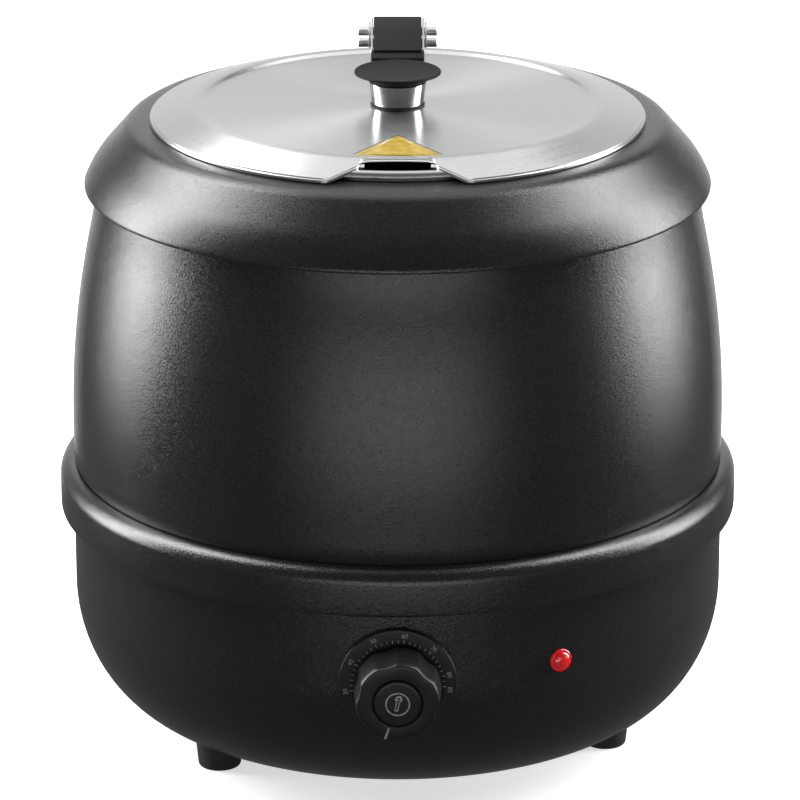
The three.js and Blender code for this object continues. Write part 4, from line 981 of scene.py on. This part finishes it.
def gland():
    g = GLAND

    def shape(r, depth, angle):
        """Cuts the flange to a hexagon and ribs the dome."""
        if 0.5 < depth < g.hex_to and r > 8:
            sector = math.radians(60)
            return min(r, g.hex_r * math.cos(sector / 2) / math.cos(angle % sector - sector / 2)), depth
        if g.rib_from < depth < g.rib_to and r > 10:
            return r - g.rib * (0.5 + 0.5 * math.cos(g.ribs * angle)), depth
        return r, depth
    thread = [(g.bore_r, g.thread_in), (g.thread_r, g.thread_in, 0.4), (g.thread_r, 0.1)]
    flange = [(12.6, 0.1, 0.4), (g.hex_r, 0.7), (g.hex_r, 4.2), (12.6, 4.6, 0.4)]
    dome = [(g.dome_r, 4.7, 0.3), (g.dome_r, g.nose_from, 1.5), (g.nose_r, g.end, 0.8),
            (g.bore_r, g.end, 0.4)]
    obj = lathe("gland_body", rounded(thread + flange + dome), shape=shape, place=facing_back(g.y, g.z))
    settle(obj, "housing", "black_plastic", ["cord_gland"])


for build in (bowl, barrel, well, pot, collar, lid, knob, blank_label, lid_bracket, hinge_cover,
              collar_bracket, hinge_rods, bracket_screws, lid_rivets, bezel, scale_marks, grip, grip_centre,
              glyph, pointer, lamp, feet, base_plate, gland):
    build()

# CAD nodes that stay as they are get their slot's procedural material.
slots = {entry["node"]: entry["material_slot"] for entry in frame["record"]["subparts"]}
for name, obj in frame["nodes"].items():
    obj.data.materials.clear()
    obj.data.materials.append(MATERIALS[slots[name]])


# ------------------------------------------------------------------ stage, lights and camera
FLOOR = Sizes(half=6000, z=-0.05)
CAMERA = Sizes(aim_z=168.4, reach=2373.5, elevation=19.19, lens=212.3, sensor=36, shift=0.0029, clip_end=50)
MIDDLE = (0, 0, 240)
LID_MIDDLE = (0, 0, 320)


def stage():
    """A white floor that only the camera sees, so that it casts nothing onto the kettle."""
    n = Nodes("studio_white")
    cloud = n.noise(3, detail=2)
    n.set(Emission_Color=(1, 1, 1, 1), Emission_Strength=0.62, Specular_IOR_Level=0.0)
    material = n.done(n.mix(cloud, (0.8, 0.8, 0.8), (0.84, 0.84, 0.84)), n.ramp(cloud, 0.8, 0.9))
    verts = [(x, y, FLOOR.z) for x, y in box(-FLOOR.half, -FLOOR.half, FLOOR.half, FLOOR.half)]
    floor = finish_mesh("studio_floor", verts, [[0, 1, 2, 3]])
    floor.data.materials.append(material)
    floor.visible_glossy = False
    floor.visible_diffuse = False
    floor.visible_shadow = False


def aimed(obj, where, aim):
    """Puts a light or the camera in the scene, looking at a place."""
    obj.location = Vector(where) * MM
    obj.rotation_euler = (Vector(aim) - Vector(where)).to_track_quat("-Z", "Y").to_euler()
    bpy.context.scene.collection.objects.link(obj)


def area_light(name, where, aim, width, height, watts):
    light = bpy.data.lights.new(name, "AREA")
    light.shape = "RECTANGLE"
    light.size = width * MM
    light.size_y = height * MM
    light.energy = watts
    aimed(bpy.data.objects.new(name, light), where, aim)


def studio():
    """Two tall panels shape the barrel's side highlights. The others open up the lid, belt and edges."""
    world = bpy.data.worlds.new("studio")
    world.use_nodes = True
    background = world.node_tree.nodes["Background"]
    background.inputs["Color"].default_value = (1, 1, 1, 1)
    background.inputs["Strength"].default_value = 0.13
    bpy.context.scene.world = world
    area_light("left_panel", (-880, 165, 660), MIDDLE, width=440, height=1400, watts=31)
    area_light("right_panel", (885, 135, 660), MIDDLE, width=440, height=1400, watts=26)
    area_light("left_rim_panel", (-1004, 1115, 400), MIDDLE, width=800, height=1000, watts=0.5)
    area_light("right_rim_panel", (1004, 1115, 400), MIDDLE, width=800, height=1000, watts=0.4)
    area_light("back_panel", (0, 1500, 450), (0, 0, 450), width=1400, height=1750, watts=5.6)
    area_light("top_panel", (-200, 480, 1500), (-200, 480, 0), width=1500, height=1400, watts=9)
    area_light("lid_panel", (-600, 816, 1425), LID_MIDDLE, width=450, height=450, watts=3)
    area_light("low_front_panel", (0, -1500, 70), (0, 0, 225), width=1500, height=260, watts=5.5)


def camera():
    data = bpy.data.cameras.new("camera")
    data.lens = CAMERA.lens
    data.sensor_width = CAMERA.sensor
    data.shift_x = CAMERA.shift
    data.clip_end = CAMERA.clip_end
    obj = bpy.data.objects.new("camera", data)
    aim = Vector((0, 0, CAMERA.aim_z))
    elevation = math.radians(CAMERA.elevation)
    where = aim + Vector((0, -math.cos(elevation), math.sin(elevation))) * CAMERA.reach
    aimed(obj, where, aim)
    bpy.context.scene.camera = obj


stage()
studio()
camera()
bpy.context.scene.view_settings.view_transform = "Standard"
